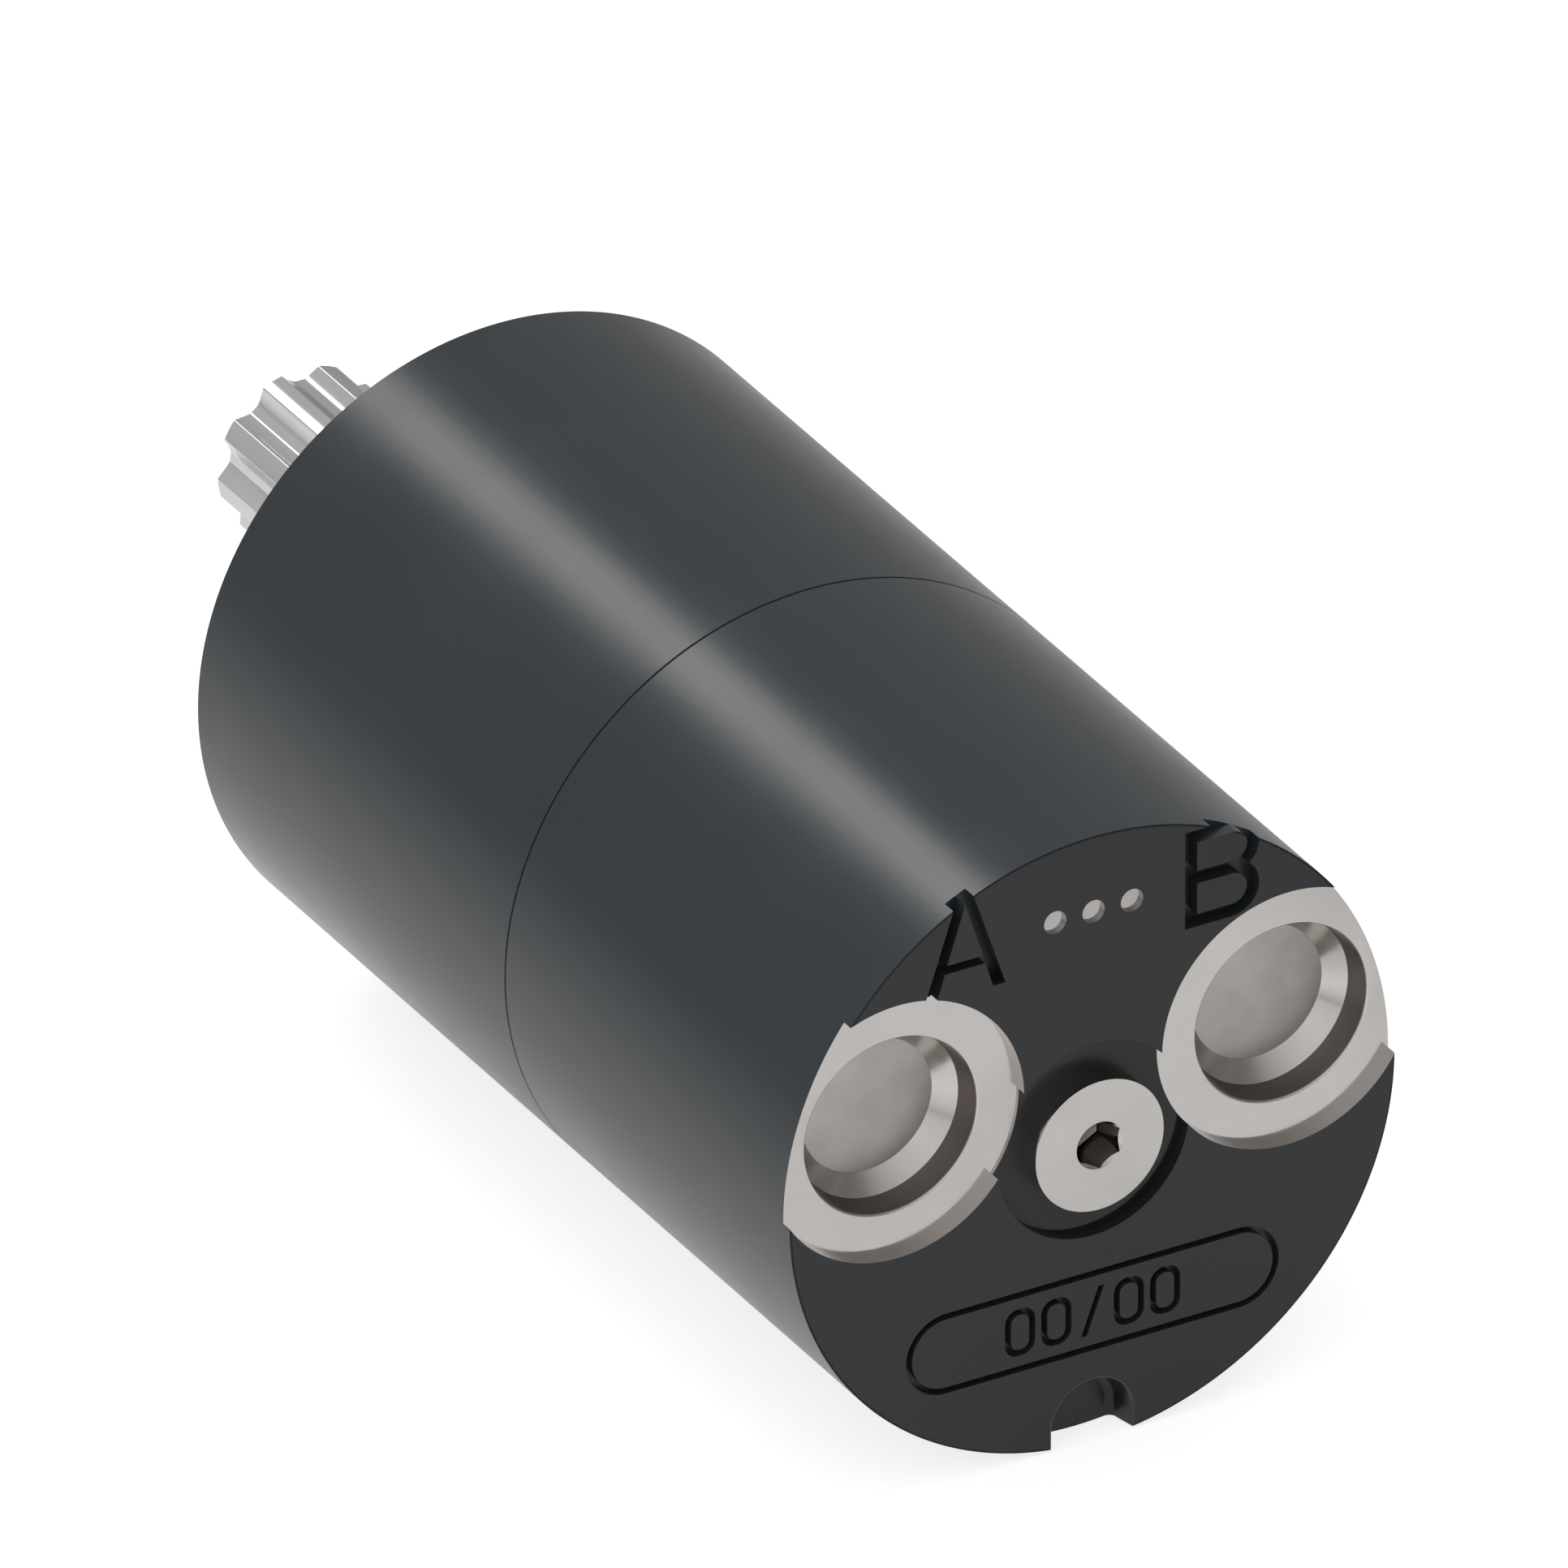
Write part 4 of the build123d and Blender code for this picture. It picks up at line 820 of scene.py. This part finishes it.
# Reflections in the body show brighter paper under it than far off to either side.
ramp = nodes.new("ShaderNodeValToRGB")
stops = ((-0.40, 0.14), (-0.28, 0.18), (-0.10, 0.44), (-0.065, 0.56), (-0.02, 0.53), (0.015, 0.47),
         (0.05, 0.45), (0.08, 0.24), (0.115, 0.05), (0.30, 0.0))
fill_ramp(ramp.color_ramp, [((position + 0.4) / 0.8, level) for position, level in stops])
links.new(spread(nodes, links, split.outputs["X"], 0, 1, -0.4, 0.4), ramp.inputs["Fac"])
falloff = ramp.outputs["Color"]
camera_glow = math_node(nodes, links, 'MULTIPLY', rays.outputs["Is Camera Ray"], CAMERA_GLOW)
glossy_glow = math_node(nodes, links, 'MULTIPLY', rays.outputs["Is Glossy Ray"], falloff)
seen = math_node(nodes, links, 'ADD', camera_glow, glossy_glow)
clear = math_node(nodes, links, 'MULTIPLY', rays.outputs["Is Transmission Ray"], CLEAR_GLOW)
links.new(math_node(nodes, links, 'ADD', seen, clear), glow.inputs["Strength"])
links.new(diffuse.outputs["BSDF"], both.inputs[0])
links.new(glow.outputs["Emission"], both.inputs[1])
links.new(both.outputs["Shader"], output.inputs["Surface"])
floor.materials.append(stage_paper)

# Studio light: a pale tent, with one soft panel above the splined end and a dim patch to the right of it
PANEL_LIGHT = 3.6
DIM_PATCH = (0.772, -0.347, 0.531)    # direction of the patch that darkens the ports' cones
world = bpy.data.worlds.new("studio")
bpy.context.scene.world = world
world.use_nodes = True
nodes, links = world.node_tree.nodes, world.node_tree.links
nodes.clear()
output = nodes.new("ShaderNodeOutputWorld")
background = nodes.new("ShaderNodeBackground")
rays = nodes.new("ShaderNodeLightPath")
place = nodes.new("ShaderNodeTexCoord")
split = nodes.new("ShaderNodeSeparateXYZ")
links.new(place.outputs["Generated"], split.inputs["Vector"])
x, y, z = (split.outputs[axis] for axis in "XYZ")
# The tent is brighter to -X, upwards and on the rear face's side.
tent = math_node(nodes, links, 'MULTIPLY_ADD', x, -0.14)
tent.node.inputs[2].default_value = 0.48
rise = math_node(nodes, links, 'MULTIPLY', z, 0.26)
tent = math_node(nodes, links, 'ADD', tent, rise)
near = spread(nodes, links, y, 0.22, 0.0, -1.0, 0.6)
tent = math_node(nodes, links, 'ADD', tent, near)
facing = nodes.new("ShaderNodeVectorMath")
facing.operation = 'DOT_PRODUCT'
links.new(place.outputs["Generated"], facing.inputs[0])
facing.inputs[1].default_value = DIM_PATCH
dim = nodes.new("ShaderNodeValToRGB")
dim_stops = ((0.0, 1.0), (0.3, 0.88), (0.61, 0.78), (0.79, 0.66), (0.9, 0.55), (0.97, 0.38), (1.0, 0.34))
fill_ramp(dim.color_ramp, dim_stops)
links.new(facing.outputs["Value"], dim.inputs["Fac"])
loss = math_node(nodes, links, 'SUBTRACT', 1.0, dim.outputs["Color"])
loss = math_node(nodes, links, 'MULTIPLY', loss, spread(nodes, links, y, 1.0, 0.0, -0.1, 0.2))
tent = math_node(nodes, links, 'MULTIPLY', tent, math_node(nodes, links, 'SUBTRACT', 1.0, loss))
left_edge = spread(nodes, links, x, 0.0, 1.0, -0.225, -0.175)
right_edge = spread(nodes, links, x, 1.0, 0.0, -0.03, 0.02)
low_edge = spread(nodes, links, y, 0.0, 1.0, 0.52, 0.60)
high_edge = spread(nodes, links, z, 0.0, 1.0, 0.28, 0.36)
panel = math_node(nodes, links, 'MULTIPLY', left_edge, right_edge)
panel = math_node(nodes, links, 'MULTIPLY', panel, low_edge)
panel = math_node(nodes, links, 'MULTIPLY', panel, high_edge)
panel = math_node(nodes, links, 'MULTIPLY', panel, PANEL_LIGHT)
lit = math_node(nodes, links, 'ADD', tent, panel)
shown = nodes.new("ShaderNodeMix")
shown.data_type = 'FLOAT'
links.new(rays.outputs["Is Camera Ray"], shown.inputs["Factor"])
links.new(lit, shown.inputs["A"])
shown.inputs["B"].default_value = 1.0
links.new(shown.outputs["Result"], background.inputs["Strength"])
links.new(background.outputs["Background"], output.inputs["Surface"])
background.inputs["Color"].default_value = (1, 1, 1, 1)

# Camera at the photograph's angle, far off with a long lens. The aim is set in the camera's own directions.
AIM_RIGHT, AIM_UP, AIM_TOWARDS = 24.81, -13.95, 38.5
CAMERA_DISTANCE = 6.198   # metres
right = Vector((0.8660254, -0.5, 0))
up = Vector((0.25, 0.4330127, 0.8660254))
towards = Vector((-0.4330127, -0.75, 0.5))
lens = bpy.data.cameras.new("camera")
lens.lens = 1650
lens.sensor_width = 36
lens.clip_start = 0.5
lens.clip_end = 60
lens.dof.use_dof = False
camera = bpy.data.objects.new("camera", lens)
bpy.context.scene.collection.objects.link(camera)
aim = (right * AIM_RIGHT + up * AIM_UP + towards * AIM_TOWARDS) * MM
spot = aim + towards * CAMERA_DISTANCE
turn = Matrix((right, up, towards)).transposed().to_4x4()
camera.matrix_world = Matrix.Translation(spot) @ turn
bpy.context.scene.camera = camera
bpy.context.scene.view_settings.view_transform = 'Standard'
